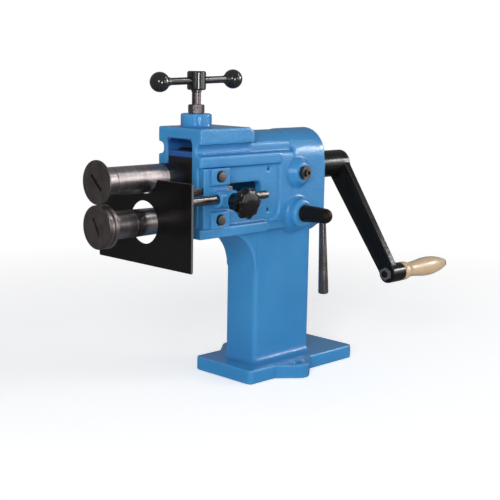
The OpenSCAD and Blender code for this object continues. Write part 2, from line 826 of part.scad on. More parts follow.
// Upper arm: the pieces that tilt about the pivot screws
module swivel_housing() {
    color(dark) difference() {
        translate([swivel_x[0], -swivel_half, swivel_low])
            cube([swivel_x[1] - swivel_x[0], 2 * swivel_half, swivel_high - swivel_low]);
        on_upper() bar_x(swivel_x[0] - eps, swivel_x[1] + eps, shaft_bush_r);
        translate([pivot_x, 0, pivot_z]) for (side = [0, 1]) mirror([0, side, 0])
            bar_y(-swivel_half - eps, dog_l - swivel_half, dog_r + play);
    }
}
module swivel_bush() {
    color(bronze) on_upper() ring_x(swivel_x[0], swivel_x[1], shaft_bush_r, journal_r + play);
}
module slide_block() {
    color(black) difference() {
        union() {
            translate([-block_front, -block_half, block_low])
                cube([block_l, 2 * block_half, block_top - block_low]);
            on_upper() bar_x(-nose_front, -block_back, nose_r);
        }
        on_upper() bar_x(-nose_front - eps, eps - block_back, shaft_bush_r);
        at_cap_screws() bar_z(block_top - cap_screw_deep - 1, block_top + eps, cap_screw_r);
    }
}
module block_bush() {
    color(bronze) on_upper() ring_x(-nose_front, -block_back, shaft_bush_r, journal_r + play);
}
module at_cap_screws() {
    for (x = [-cap_screw_x, cap_screw_x], y = [-cap_screw_y, cap_screw_y])
        translate([x - screw_x, y, 0]) children();
}
module block_cap() {
    color(blue) difference() {
        translate([-block_front, -block_half, block_top]) cube([block_l, 2 * block_half, cap_t]);
        translate([-screw_x, 0, 0]) bar_z(cap_top - foot_pocket, cap_top + eps, foot_pocket_r);
        at_cap_screws() bar_z(block_top - eps, cap_top + eps, cap_screw_r);
    }
}
module foot_keeper() {
    color(dark) difference() {
        translate([-screw_x - keeper_half[0], -keeper_half[1], cap_top])
            cube([2 * keeper_half[0], 2 * keeper_half[1], keeper_t]);
        translate([-screw_x, 0, 0]) bar_z(cap_top - eps, cap_top + keeper_t + eps, keeper_hole_r);
        at_cap_screws() bar_z(cap_top - eps, cap_top + keeper_t + eps, cap_screw_r);
    }
}
module cap_screws() {
    top = cap_top + keeper_t;
    color(dark) at_cap_screws() {
        bar_z(block_top - cap_screw_deep, top + eps, cap_screw_r);
        bar_z(top, top + cap_head_t, cap_head_r);
    }
}

// Gears with involute teeth
function inv(a) = tan(a) - a * PI / 180;
base_circle = pitch_r * cos(pressure);
tooth_half = 90 / gear_teeth - 45 * backlash / PI / pitch_r;
function half_at(r) = tooth_half + (inv(pressure) - inv(acos(min(1, base_circle / r)))) * 180 / PI;
flank_low = max(root_r, base_circle);
flank_r = [root_r, for (k = [0:flank_steps]) flank_low + k * (tip_r - flank_low) / flank_steps];
function polar(r, a) = [r * cos(a), r * sin(a)];
function tooth(mid) = concat(
    [for (r = flank_r) polar(r, mid - half_at(max(r, base_circle)))],
    [for (k = [len(flank_r) - 1:-1:0]) polar(flank_r[k], mid + half_at(max(flank_r[k], base_circle)))]
);
module gear_shape(first) {
    polygon([for (t = [0:gear_teeth - 1], p = tooth(first + t * 360 / gear_teeth)) p]);
}
module drive_gear(first, hub_front) {
    difference() {
        union() {
            along_x(gear_front, gear_back) gear_shape(first);
            bar_x(hub_front, gear_front + eps, gear_hub_r);
        }
        bar_x(hub_front - eps, gear_back + eps, rear_r);
        translate([gear_front - eps, -key_w / 2, 0]) cube([gear_w + 2 * eps, key_w, key_top]);
    }
}
module square_key(from, length) {
    translate([from, -key_w / 2, key_top - key_w]) cube([length, key_w, key_w]);
}

// Upper shaft with its die and the crank
module end_slot(face) {
    translate([-face - eps, -slot_w / 2, -die_screw_d]) cube([slot_deep + eps, slot_w, 2 * die_screw_d]);
    bar_x(-face - eps, slot_w - face, centre_r);
}
module die_screw() {
    color(steel) difference() {
        union() {
            bar_x(-die_face, die_head_t - die_face, die_screw_d / 2);
            bar_x(-die_face, die_screw_l - die_face, die_thread_r);
        }
        end_slot(die_face);
    }
}
module die_bore() {
    bar_x(die_head_t - die_face - eps, eps - seat_end, seat_d / 2);
    bar_x(-die_face - eps, die_head_t - die_face, die_screw_d / 2);
}
module upper_shaft() {
    color(steel) on_upper() difference() {
        union() {
            bar_x(die_head_t - die_face, eps - seat_end, seat_d / 2);
            bar_x(-seat_end, -upper_shoulder_end, shoulder_d / 2);
            bar_x(-upper_shoulder_end - eps, gear_hub_front, journal_r);
            bar_x(gear_hub_front - eps, shaft_end, rear_r);
        }
        bar_x(die_head_t - 1 - die_face, die_screw_l - die_face, die_thread_r);
        square_key(gear_front + 2, key_l);
        square_key(crank_front, crank_key_l);
        bar_x(shaft_end - crank_tap, shaft_end + eps, crank_thread_r);
    }
}
module upper_gear() { color(steel) on_upper() drive_gear(-90, gear_hub_front); }
module upper_gear_key() { color(steel) on_upper() square_key(gear_front + 2, key_l); }
module upper_collar() { color(dark) on_upper() ring_x(gear_back, gear_back + collar_w, collar_r, rear_r); }
module upper_die() {
    hub_r = shoulder_d / 2;
    rim_r = die_d / 2;
    color(steel) on_upper() difference() {
        turned_x() polygon([
            [0, -die_face], [rim_r - 0.6, -die_face], [rim_r, 0.6 - die_face], [rim_r, disc_w - die_face],
            [hub_r + 4, disc_w + 3 - die_face], [hub_r, disc_w + 7 - die_face],
            [hub_r, die_l - 0.4 - die_face], [hub_r - 0.4, die_l - die_face], [0, die_l - die_face]
        ]);
        die_bore();
    }
}
module upper_spacer() {
    color(steel) on_upper() ring_x(die_l - die_face, -seat_end, shoulder_d / 2, seat_d / 2);
}
module upper_die_screw() { on_upper() rotate([35, 0, 0]) die_screw(); }

module crank_arm() {
    neck = crank_hub_r - 2;
    color(black) on_upper() difference() {
        union() {
            bar_x(crank_hub_front, crank_rear, crank_hub_r);
            rotate([-crank_angle, 0, 0]) {
                along_x(crank_front, crank_rear - hub_proud) taper(neck, crank_end_r - 1, crank_l);
                translate([0, 0, -crank_l]) bar_x(crank_boss_front, crank_boss_rear, crank_end_r);
            }
        }
        rotate([-crank_angle, 0, 0]) along_x(crank_front - eps, crank_front + crank_hollow) difference() {
            taper(neck - 4.5, crank_end_r - 5.5, crank_l);
            circle(crank_hub_r + 3);
            translate([0, -crank_l]) circle(crank_end_r + 2);
        }
        bar_x(crank_hub_front - eps, crank_rear + eps, rear_r);
        translate([crank_front, -key_w / 2, 0]) cube([crank_t + eps, key_w, key_top]);
        rotate([-crank_angle, 0, 0]) translate([0, 0, -crank_l])
            bar_x(crank_boss_front - eps, crank_boss_rear + eps, grip_bolt_d / 2);
    }
}
module crank_key() { color(steel) on_upper() square_key(crank_front, crank_key_l); }
module crank_washer() {
    color(steel) on_upper() ring_x(crank_rear, crank_rear + crank_washer_t, crank_washer_r, crank_thread_r);
}
module crank_screw() {
    face = crank_rear + crank_washer_t;
    color(dark) on_upper() {
        translate([face, 0, 0]) rotate([0, 90, 0]) hex_prism(crank_head_af, crank_head_t);
        bar_x(shaft_end - crank_tap + 2, face + eps, crank_thread_r);
    }
}
module on_grip() { translate([0, grip_y, grip_z]) children(); }
module grip_bolt() {
    head_r = grip_bolt_d / 2 + 3;
    color(steel) on_grip() {
        bar_x(crank_boss_front - grip_nut_t - 2, grip_end + 0.8, grip_bolt_d / 2);
        translate([grip_end + 0.3, 0, 0]) turned_x() intersection() {
            square([head_r, grip_head_t]);
            translate([0, -head_r]) circle(head_r + grip_head_t);
        }
    }
}
module grip_nut() {
    color(dark) on_grip() translate([crank_boss_front - grip_nut_t, 0, 0]) rotate([0, 90, 0]) difference() {
        hex_prism(grip_nut_af, grip_nut_t);
        bar_z(-eps, grip_nut_t + eps, grip_bolt_d / 2);
    }
}
// Wooden grip: round collar, waist, belly and round tip, turned from arcs
module crank_grip() {
    belly = grip_d / 2;
    collar = belly - 1;
    waist = belly - 4;
    tip = grip_bolt_d / 2 + 3.2;
    waist_at = grip_front + grip_l * 0.2;
    belly_at = grip_front + grip_l * 0.6;
    steps = 14;
    part = [for (k = [1:steps]) k / steps];
    function wave(a, b, t) = a + (b - a) * (1 - cos(180 * t)) / 2;
    function round_to(a, b, t) = b + (a - b) * cos(90 * t);
    function between(a, b, t) = a + (b - a) * t;
    collar_at = grip_front + grip_collar;
    color(wood) on_grip() difference() {
        turned_x() polygon(concat(
            [[0, grip_front], [collar - 1.5, grip_front], [collar, grip_front + 2], [collar, collar_at]],
            [for (t = part) [wave(collar, waist, t), between(collar_at, waist_at, t)]],
            [for (t = part) [wave(waist, belly, t), between(waist_at, belly_at, t)]],
            [for (t = part) [round_to(belly, tip, t), between(belly_at, grip_end, t)]],
            [[0, grip_end]]
        ));
        bar_x(grip_front - eps, grip_end + eps, grip_bolt_d / 2 + play);
    }
}

// Lower shaft, which the lever moves along its axis
module adjusting_sleeve() {
    slot = pin_d + 2 * slide_play;
    color(steel) on_lower() difference() {
        bar_x(-sleeve_front, sleeve_back, sleeve_r);
        bar_x(-sleeve_front - eps, sleeve_back + eps, shaft_bush_r);
        translate([-lever_x - slot / 2, -sleeve_r - eps, -sleeve_r])
            cube([slot, sleeve_r - shaft_bush_r + eps - 0.6, 2 * sleeve_r]);
    }
}
module sleeve_bush() {
    color(bronze) on_lower() ring_x(-sleeve_front, sleeve_back, shaft_bush_r, journal_r + play);
}
module lower_shaft() {
    color(steel) on_lower() difference() {
        union() {
            bar_x(die_head_t - die_face, eps - seat_end, seat_d / 2);
            bar_x(-seat_end, -lower_shoulder_end, shoulder_d / 2);
            bar_x(-lower_shoulder_end - eps, 8 - tunnel_front, lower_journal_d / 2);
            bar_x(-tunnel_front, -sleeve_front - 0.2, journal_r + 1.5);
            bar_x(-sleeve_front - 1, sleeve_back + 0.2, journal_r);
            bar_x(sleeve_back, gear_back + collar_w, rear_r);
        }
        bar_x(die_head_t - 1 - die_face, die_screw_l - die_face, die_thread_r);
        square_key(gear_front + 2, key_l);
    }
}
module lower_gear() {
    color(steel) on_lower() drive_gear(90 + 180 / gear_teeth, sleeve_back + 0.4);
}
module lower_gear_key() { color(steel) on_lower() square_key(gear_front + 2, key_l); }
module lower_collar() { color(dark) on_lower() ring_x(gear_back, gear_back + collar_w, collar_r, rear_r); }
module lower_die() {
    hub_r = shoulder_d / 2;
    step_r = hub_r + dish_r;
    rim_r = die_d / 2;
    low_r = rim_r - bead_deep;
    groove = (rim_w - bead_w) / 2;
    color(steel) on_lower() difference() {
        turned_x() translate([0, -die_face]) difference() {
            polygon([
                [0, 0], [rim_r - edge_cut, 0], [rim_r, edge_cut], [rim_r, groove],
                [low_r, groove + edge_cut],
                [low_r, groove + bead_w - edge_cut], [rim_r, groove + bead_w], [rim_r, rim_w - edge_cut],
                [rim_r - edge_cut, rim_w], [step_r, rim_w], [step_r, rim_w + dish_r],
                [hub_r, rim_w + dish_r], [hub_r, die_l], [0, die_l]
            ]);
            translate([step_r + lip, rim_w + dish_r + lip]) circle(dish_r);
        }
        die_bore();
    }
}
module lower_spacer() {
    color(steel) on_lower() difference() {
        union() {
            bar_x(die_l - die_face, -seat_end, shoulder_d / 2);
            bar_x(-seat_end - spacer_ring, -seat_end, shoulder_d / 2 + spacer_lip);
        }
        bar_x(die_l - die_face - eps, eps - seat_end, seat_d / 2);
    }
}
module lower_die_screw() { on_lower() rotate([-30, 0, 0]) die_screw(); }

// Lever that shifts the lower shaft
module on_lever() { translate([-lever_x, 0, lever_z]) children(); }
lever_end = lever_boss_y + lever_hub_l;
lever_rod_y = lever_end - lever_tip_d * 0.72;
lever_seat = 2.5;
module lever_hub() {
    tip_r = lever_tip_d / 2;
    color(black) on_lever() difference() {
        union() {
            bar_y(-lever_boss_y - eps, -sleeve_r - 0.6, lever_shaft_r);
            translate([0, 0, pin_throw]) bar_y(-sleeve_r - 1, -shaft_bush_r - 1, pin_d / 2);
            cone_y(lever_boss_y + 0.3, lever_end - tip_r, lever_hub_d / 2, tip_r);
            translate([0, tip_r - lever_end, 0]) sphere(r = tip_r);
        }
        translate([0, -lever_rod_y, 0]) rotate([0, -lever_lean, 0])
            bar_z(-tip_r - eps, -lever_seat, lever_rod_top / 2 - 1);
    }
}
module lever_rod() {
    top = -lever_tip_d / 2 + 0.4;
    color(black) on_lever() translate([0, -lever_rod_y, 0]) rotate([0, -lever_lean, 0]) {
        translate([0, 0, -lever_rod_l])
            cylinder(h = lever_rod_l + top, d1 = lever_rod_end, d2 = lever_rod_top);
        bar_z(top - 1, -lever_seat, lever_rod_top / 2 - 1);
    }
}

// Fence
module fence_plate() {
    color(black) along_x(-fence_x - fence_t / 2, fence_t / 2 - fence_x) difference() {
        soft_rect(-fence_w / 2, fence_w / 2, lower_z - fence_low, lower_z + fence_high, fence_r);
        translate([0, lower_z]) circle(d = fence_hole_d);
        translate([0, lower_z + fence_high + fence_notch_lift]) circle(d = fence_notch_d);
    }
}
module fence_rod() {
    color(steel) translate([0, -rod_y, rod_z]) {
        bar_x(-fence_back, -rod_end - rod_cut, rod_d / 2);
        translate([-rod_end - rod_cut, 0, 0]) rotate([0, 90, 0])
            cylinder(h = rod_cut, r1 = rod_d / 2, r2 = rod_d / 2 - rod_cut);
    }
}
module fence_guide_bar() {
    color(steel) translate([-fence_back, -guide_y - guide_t / 2, guide_z - guide_h / 2])
        cube([fence_back - guide_end, guide_t, guide_h]);
}
module star_knob() {
    r = knob_d / 2;
    dent_r = r * knob_dent;
    color(black) translate([-knob_x, 0, knob_z]) difference() {
        union() {
            bar_y(-knob_y, knob_t - knob_y, r);
            bar_y(-knob_y, -knob_boss_y - 1.5, r * knob_core);
        }
        for (k = [0:knob_lobes - 1]) rotate([0, k * 360 / knob_lobes + knob_turn, 0])
            translate([r + dent_r / 2, 0, 0]) bar_y(-knob_y - eps, knob_t - knob_y + eps, dent_r);
        bar_y(stud_grip - knob_y, -knob_boss_y, stud_d / 2);
    }
}
module knob_stud() {
    color(steel) translate([-knob_x, 0, knob_z]) bar_y(stud_grip - knob_y, -stud_tip, stud_d / 2);
}

frame_casting();
gear_cover();
cover_screws();
lower_front_bush();
lever_bush();
fence_bracket();
bracket_bolts();
pivot_screws();
pivot_lock_nuts();
lock_nut();
thrust_foot();
pressure_screw();
t_hub();
t_bar();
ball_knobs();
swivel_housing();
swivel_bush();
slide_block();
block_bush();
block_cap();
foot_keeper();
cap_screws();
upper_shaft();
upper_gear();
upper_gear_key();
upper_collar();
upper_die();
upper_spacer();
upper_die_screw();
crank_arm();
crank_key();
crank_washer();
crank_screw();
grip_bolt();
grip_nut();
crank_grip();
adjusting_sleeve();
sleeve_bush();
lower_shaft();
lower_gear();
lower_gear_key();
lower_collar();
lower_die();
lower_spacer();
lower_die_screw();
lever_hub();
lever_rod();
fence_plate();
fence_rod();
fence_guide_bar();
star_knob();
knob_stud();
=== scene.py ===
import json
import math

import bmesh
import bpy
import numpy as np
from mathutils import Matrix, Vector

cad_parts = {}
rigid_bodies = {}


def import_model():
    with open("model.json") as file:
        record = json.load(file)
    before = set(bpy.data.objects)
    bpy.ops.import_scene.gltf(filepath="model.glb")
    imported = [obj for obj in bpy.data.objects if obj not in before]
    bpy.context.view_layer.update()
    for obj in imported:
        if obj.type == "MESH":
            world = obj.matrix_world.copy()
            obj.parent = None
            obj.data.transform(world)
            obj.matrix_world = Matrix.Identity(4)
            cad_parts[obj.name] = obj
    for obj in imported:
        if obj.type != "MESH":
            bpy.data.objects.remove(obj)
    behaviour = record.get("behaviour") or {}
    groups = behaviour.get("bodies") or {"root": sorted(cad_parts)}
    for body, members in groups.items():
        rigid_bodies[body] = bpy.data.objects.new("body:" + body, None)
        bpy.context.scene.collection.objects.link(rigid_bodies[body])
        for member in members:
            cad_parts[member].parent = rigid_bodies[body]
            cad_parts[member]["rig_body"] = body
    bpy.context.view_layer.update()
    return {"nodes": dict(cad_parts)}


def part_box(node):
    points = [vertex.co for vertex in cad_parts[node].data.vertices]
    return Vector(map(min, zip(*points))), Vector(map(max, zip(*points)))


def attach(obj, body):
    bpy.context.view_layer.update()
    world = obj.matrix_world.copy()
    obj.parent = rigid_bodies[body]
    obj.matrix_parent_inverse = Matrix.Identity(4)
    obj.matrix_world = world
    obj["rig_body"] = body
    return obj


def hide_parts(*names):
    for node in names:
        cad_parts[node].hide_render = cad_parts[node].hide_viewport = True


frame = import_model()
nodes = frame["nodes"]
mm = 0.001
lowerZ = 235.2  # shaft heights, as in the CAD
upperZ = 291.2
white = (1, 1, 1, 1)
print("frame loaded:", len(nodes), "nodes")


class Flow:  # a socket that takes part in sums
    def __init__(self, graph, socket):
        self.graph = graph
        self.socket = socket

    def work(self, operation, first, second=0.0):
        return self.graph.node("ShaderNodeMath", {"operation": operation}, {0: first, 1: second})

    def __add__(self, other):
        return self.work("ADD", self, other)

    def __sub__(self, other):
        return self.work("SUBTRACT", self, other)

    def __rsub__(self, other):
        return self.work("SUBTRACT", other, self)

    def __mul__(self, other):
        return self.work("MULTIPLY", self, other)

    def __pow__(self, other):
        return self.work("POWER", self, other)

    def __abs__(self):
        return self.work("ABSOLUTE", self)

    def sine(self):
        return self.work("SINE", self)

    def cosine(self):
        return self.work("COSINE", self)

    def sign(self):
        return self.work("SIGN", self)


class Graph:
    def __init__(self, tree):
        self.tree = tree

    def node(self, kind, settings=None, inputs=None, output=0):
        made = self.tree.nodes.new(kind)
        for key, value in (settings or {}).items():
            if key == "stops":  # a ramp's stops: place and colour
                while len(made.color_ramp.elements) < len(value):
                    made.color_ramp.elements.new(0.5)
                for element, (place, colour) in zip(made.color_ramp.elements, value):
                    element.position = place
                    element.color = colour
            else:
                setattr(made, key, value)
        for key, value in (inputs or {}).items():
            if isinstance(value, Flow):
                self.tree.links.new(value.socket, made.inputs[key])
            else:
                made.inputs[key].default_value = value
        return Flow(self, made.outputs[output]) if len(made.outputs) else made

    def parts(self, vector):
        split = self.tree.nodes.new("ShaderNodeSeparateXYZ")
        self.tree.links.new(vector.socket, split.inputs[0])
        return [Flow(self, split.outputs[k]) for k in range(3)]

    def mix(self, share, a, b):
        return self.node("ShaderNodeMix", {"data_type": "RGBA"}, {0: share, 6: a, 7: b}, output=2)

    def ray(self, kind):  # 1 for rays of this kind, otherwise 0
        return self.node("ShaderNodeLightPath", output=kind)


def rgb(*screen):  # screen colour, 0 to 255, to a linear colour
    linear = [c / 255 / 12.92 if c <= 10 else ((c / 255 + 0.055) / 1.055) ** 2.4 for c in screen]
    return (*linear, 1.0)


class Finish(Graph):  # one material
    def __init__(self, name):
        self.material = bpy.data.materials.new(name)
        self.material.use_nodes = True
        super().__init__(self.material.node_tree)
        self.tree.nodes.clear()
        self.place = self.node("ShaderNodeTexCoord", output=3)

    def noise(self, scale, detail=2.0, rough=0.5, stretch=None):
        where = self.place
        if stretch:
            where = self.node("ShaderNodeMapping", None, {"Vector": where, "Scale": stretch})
        return self.node("ShaderNodeTexNoise", None, {
            "Vector": where, "Scale": scale, "Detail": detail, "Roughness": rough})

    def lines(self, value, scale, detail=3.0):  # noise along one number
        return self.node("ShaderNodeTexNoise", {"noise_dimensions": "1D"}, {
            "W": value, "Scale": scale, "Detail": detail, "Roughness": 0.6})

    def ramp(self, value, stops):
        return self.node("ShaderNodeValToRGB", {"stops": stops}, {"Fac": value})

    def spread(self, value, low, high, toLow=0.0, toHigh=1.0):
        return self.node("ShaderNodeMapRange", None, {
            "Value": value, "From Min": low, "From Max": high, "To Min": toLow, "To Max": toHigh})

    def mark(self, name):  # a number kept on the mesh's points
        return self.node("ShaderNodeAttribute", {"attribute_name": name}, output=2)

    def bump(self, height, strength, depth, under=None):
        sockets = {"Height": height, "Strength": strength, "Distance": depth}
        if under:
            sockets["Normal"] = under
        return self.node("ShaderNodeBump", None, sockets)

    def finish(self, **sockets):
        named = {key.replace("_", " "): value for key, value in sockets.items()}
        shader = self.node("ShaderNodeBsdfPrincipled", None, named)
        self.node("ShaderNodeOutputMaterial", None, {"Surface": shader})
        return self.material


class Shaper(Graph):  # one geometry tree with named inputs
    kinds = {float: "NodeSocketFloat", int: "NodeSocketInt"}

    def __init__(self, name, sizes):
        super().__init__(bpy.data.node_groups.new(name, "GeometryNodeTree"))
        self.inputs = {}
        self.values = sizes
        face = self.tree.interface
        face.new_socket("Mesh", in_out="OUTPUT", socket_type="NodeSocketGeometry")
        for key, value in sizes.items():
            kind = self.kinds.get(type(value)) or (
                "NodeSocketMaterial" if isinstance(value, bpy.types.Material) else "NodeSocketObject")
            self.inputs[key] = face.new_socket(key, in_out="INPUT", socket_type=kind).identifier
        self.entry = self.tree.nodes.new("NodeGroupInput")

    def size(self, key):
        return Flow(self, self.entry.outputs[key])

    def vector(self, x=0.0, y=0.0, z=0.0):
        return self.node("ShaderNodeCombineXYZ", None, {0: x, 1: y, 2: z})

    def run(self, shape, material):  # close the tree and keep its result as a plain mesh
        whole = self.node("GeometryNodeRealizeInstances", None, {0: shape})
        painted = self.node("GeometryNodeSetMaterial", None, {"Geometry": whole, "Material": material})
        self.node("NodeGroupOutput", None, {0: painted})
        holder = bpy.data.objects.new("holder", bpy.data.meshes.new("holder"))
        bpy.context.scene.collection.objects.link(holder)
        modifier = holder.modifiers.new("shape", "NODES")
        modifier.node_group = self.tree
        for key, identifier in self.inputs.items():
            modifier[identifier] = self.values[key]
        view = bpy.context.evaluated_depsgraph_get()
        view.update()
        mesh = bpy.data.meshes.new_from_object(holder.evaluated_get(view))
        holder.modifiers.remove(modifier)
        bpy.data.objects.remove(holder)
        return mesh


# blue enamel: lighter on edges, partly thinner paint and partly painted highlight; painted shade in
# hollows; with slow ripples and a fine peel
enamelLook = {
    "light": (96, 168, 220), "main": (60, 138, 197), "cloud": (65, 146, 203), "deep": (30, 82, 156),
    "clouds": 14, "ridgeThinPaintAndHighlightShare": 0.4, "hollowShadeShare": 0.6, "roughness": 0.13, "shine": 0.4,
    "ripple": 70, "rippleDepth": 0.0010, "peel": 420, "peelDepth": 0.0007, "strength": 0.5,
    # painted shade inside the head window, between two corners in mm
    "shade": (30, 56, 140), "paintedShadeShare": 0.75, "paintedShadeFade": 2,
    "paintedShadeLow": (-215, -25, 268), "paintedShadeHigh": (-135, 25, 342)}


def blueEnamel():
    look = enamelLook
    f = Finish("blueEnamel")
    cloud = f.noise(look["clouds"], 3)
    ripple = f.noise(look["ripple"], 2.5, 0.55)
    peel = f.noise(look["peel"], 2)
    tone = f.mix(f.spread(cloud, 0.3, 0.7), rgb(*look["main"]), rgb(*look["cloud"]))
    # edges go lighter (thinner paint plus painted highlight), hollows go to the deep tone as painted shade
    tone = f.mix(f.mark("ridge") * look["ridgeThinPaintAndHighlightShare"], tone, rgb(*look["light"]))
    tone = f.mix(f.mark("hollow") * look["hollowShadeShare"], tone, rgb(*look["deep"]))
    # painted shade inside the head window: a darker blue within a box, fading at its walls
    inside = 1.0
    for at, low, high in zip(f.parts(f.place), look["paintedShadeLow"], look["paintedShadeHigh"]):
        middle, half = (low + high) / 2, (high - low) / 2
        inside = f.spread(abs(at - middle * mm), half * mm, (half - look["paintedShadeFade"]) * mm) * inside
    tone = f.mix(inside * look["paintedShadeShare"], tone, rgb(*look["shade"]))
    rough = look["roughness"]
    rough = f.spread(cloud + peel * 0.6, 0.5, 1.1, rough - 0.04, rough + 0.1)
    wave = f.bump(ripple, look["strength"], look["rippleDepth"])
    skin = f.bump(peel, look["strength"], look["peelDepth"], wave)
    return f.finish(Base_Color=tone, Roughness=rough, Normal=skin, Specular_IOR_Level=look["shine"])


# turned steel: tool marks run round the shaft's axis
dieSteelLook = {"light": (196, 186, 184), "dark": (148, 139, 137), "rough": 0.31,
                "shadedFaceLight": (150, 139, 136), "shadedFaceDark": (104, 96, 94), "faceAt": -327}
shaftSteelLook = {"light": (186, 177, 176), "dark": (146, 137, 136), "rough": 0.28}
toolMarks = {
    "fine": 1500, "fineSlope": 1.02, "broad": 160, "broadSlope": 0.9, "clouds": 60,
    "strength": 0.3, "depth": 0.0003,
    # a dark line behind the die and a painted highlight on the chamfer at the shoulder: place, width,
    # share, tone
    "rings": [(-309, 0.5, 0.6, (24, 22, 22)), (-278.5, 0.7, 0.8, (225, 220, 218))]}


def turnedSteel(name, axisZ, look):
    f = Finish(name)
    x, y, z = f.parts(f.place)
    up = z - axisZ * mm
    radius = (y * y + up * up) ** 0.5
    cut = f.lines(x + radius * toolMarks["fineSlope"], toolMarks["fine"])
    broad = f.lines(x - radius * toolMarks["broadSlope"], toolMarks["broad"], 2.0)
    cloud = f.noise(toolMarks["clouds"], 3)
    share = f.spread(cut * 0.5 + broad * 0.45 + cloud * 0.25, 0.42, 0.8)
    tone = f.mix(share, rgb(*look["dark"]), rgb(*look["light"]))
    if "faceAt" in look:  # the outer faces get a darker tone than the turned hubs: painted shade for the dim surroundings they reflect
        outer = f.spread(x, (look["faceAt"] + 1) * mm, (look["faceAt"] - 1) * mm)
        share = f.spread(cut * 0.6 + cloud * 0.5, 0.4, 0.75)
        tone = f.mix(outer, tone, f.mix(share, rgb(*look["shadedFaceDark"]), rgb(*look["shadedFaceLight"])))
    # each ring tints the tone: the dark line behind the die, and the painted highlight on the shoulder
    # chamfer
    for place, width, share, lineAndHighlightTone in toolMarks["rings"]:
        ring = f.spread(abs(x - place * mm), width * mm, width * mm * 0.4)
        tone = f.mix(ring * share, tone, rgb(*lineAndHighlightTone))
    rough = f.spread(cut + cloud * 0.4, 0.4, 1.0, look["rough"] - 0.06, look["rough"] + 0.12)
    grooves = f.bump(cut, toolMarks["strength"], toolMarks["depth"])
    return f.finish(Base_Color=tone, Metallic=1.0, Roughness=rough, Normal=grooves)


brushMarks = {"scale": 300, "clouds": 45, "strength": 0.25, "depth": 0.0001}


def brushedSteel(name, light, dark, rough, stretch):
    f = Finish(name)
    brush = f.noise(brushMarks["scale"], 3, 0.6, stretch)
    cloud = f.noise(brushMarks["clouds"], 3)
    tone = f.mix(f.spread(brush * 0.6 + cloud * 0.5, 0.35, 0.8), rgb(*dark), rgb(*light))
    roughness = f.spread(brush + cloud * 0.5, 0.5, 1.0, rough - 0.05, rough + 0.1)
    grooves = f.bump(brush, brushMarks["strength"], brushMarks["depth"])
    return f.finish(Base_Color=tone, Metallic=1.0, Roughness=roughness, Normal=grooves)


paintMarks = {"dust": 700, "clouds": 18, "lift": 6, "strength": 0.4,
              "edgeHighlightWidth": 0.4, "nearEdgeHighlight": (100, 98, 97), "topEdgeHighlight": (70, 68, 67)}


def plainPaint(name, tone, rough, ripple, depth, shine, edgeHighlight=None):
    f = Finish(name)
    wave = f.noise(ripple, 2, 0.5)
    dust = f.noise(paintMarks["dust"], 3, 0.7)
    cloud = f.noise(paintMarks["clouds"], 3)
    lifted = [c + paintMarks["lift"] for c in tone]
    colour = f.mix(f.spread(dust * 0.4 + cloud * 0.6, 0.35, 0.75), rgb(*tone), rgb(*lifted))
    if edgeHighlight:  # painted highlight along the near and top edges of a sheet, brighter on the near one: their y and z in mm
        near, top = edgeHighlight
        y, z = f.parts(f.place)[1:]
        width = paintMarks["edgeHighlightWidth"]
        colour = f.mix(f.spread(y, near * mm, (near - width) * mm), colour, rgb(*paintMarks["nearEdgeHighlight"]))
        colour = f.mix(f.spread(z, top * mm, (top + width) * mm), colour, rgb(*paintMarks["topEdgeHighlight"]))
    roughness = f.spread(cloud, 0.3, 0.7, rough - 0.03, rough + 0.05)
    skin = f.bump(wave, paintMarks["strength"], depth)
    return f.finish(Base_Color=colour, Roughness=roughness, Normal=skin, Specular_IOR_Level=shine)


grainMarks = {"grain": 900, "clouds": 120, "strength": 0.2, "depth": 0.0001}


def blackSteel(name, tone, light, rough):
    f = Finish(name)
    grain = f.noise(grainMarks["grain"], 3, 0.65)
    cloud = f.noise(grainMarks["clouds"], 3)
    colour = f.mix(f.spread(cloud * 0.7 + grain * 0.3, 0.35, 0.7), rgb(*tone), rgb(*light))
    roughness = f.spread(cloud + grain * 0.4, 0.45, 0.95, rough - 0.06, rough + 0.12)
    skin = f.bump(grain, grainMarks["strength"], grainMarks["depth"])
    return f.finish(Base_Color=colour, Metallic=1.0, Roughness=roughness, Normal=skin)


beechLook = {
    "pale": (226, 201, 168), "main": (215, 185, 148), "dark": (197, 163, 124), "fleck": (152, 110, 72),
    "rings": 40, "fibres": 420, "flecks": 900, "fibreShare": 0.35, "fleckShare": 0.5,
    "strength": 0.2, "depth": 0.0002, "shine": 0.5}


def beechGrip():
    look = beechLook
    f = Finish("beechGrip")
    rings = f.noise(look["rings"], 3, 0.6, (0.14, 1.0, 1.0))
    fibre = f.noise(look["fibres"], 3, 0.6, (0.05, 1.0, 1.0))
    fleck = f.noise(look["flecks"], 2, 0.5, (0.07, 1.0, 0.35))
    tone = f.ramp(rings, [(0.3, rgb(*look["dark"])), (0.5, rgb(*look["main"])), (0.72, rgb(*look["pale"]))])
    tone = f.mix(f.spread(fibre, 0.4, 0.75) * look["fibreShare"], tone, rgb(*look["dark"]))
    tone = f.mix(f.spread(fleck, 0.66, 0.74) * look["fleckShare"], tone, rgb(*look["fleck"]))
    rough = f.spread(fibre, 0.3, 0.8, 0.26, 0.4)
    skin = f.bump(fibre + rings * 0.5, look["strength"], look["depth"])
    return f.finish(Base_Color=tone, Roughness=rough, Normal=skin, Specular_IOR_Level=look["shine"])


bronzeLook = {"dark": (150, 112, 62), "light": (190, 150, 92), "clouds": 180}


def bearingBronze():
    f = Finish("bearingBronze")
    cloud = f.noise(bronzeLook["clouds"], 3)
    tone = f.mix(f.spread(cloud, 0.3, 0.7), rgb(*bronzeLook["dark"]), rgb(*bronzeLook["light"]))
    return f.finish(Base_Color=tone, Metallic=1.0, Roughness=f.spread(cloud, 0.3, 0.8, 0.26, 0.42))


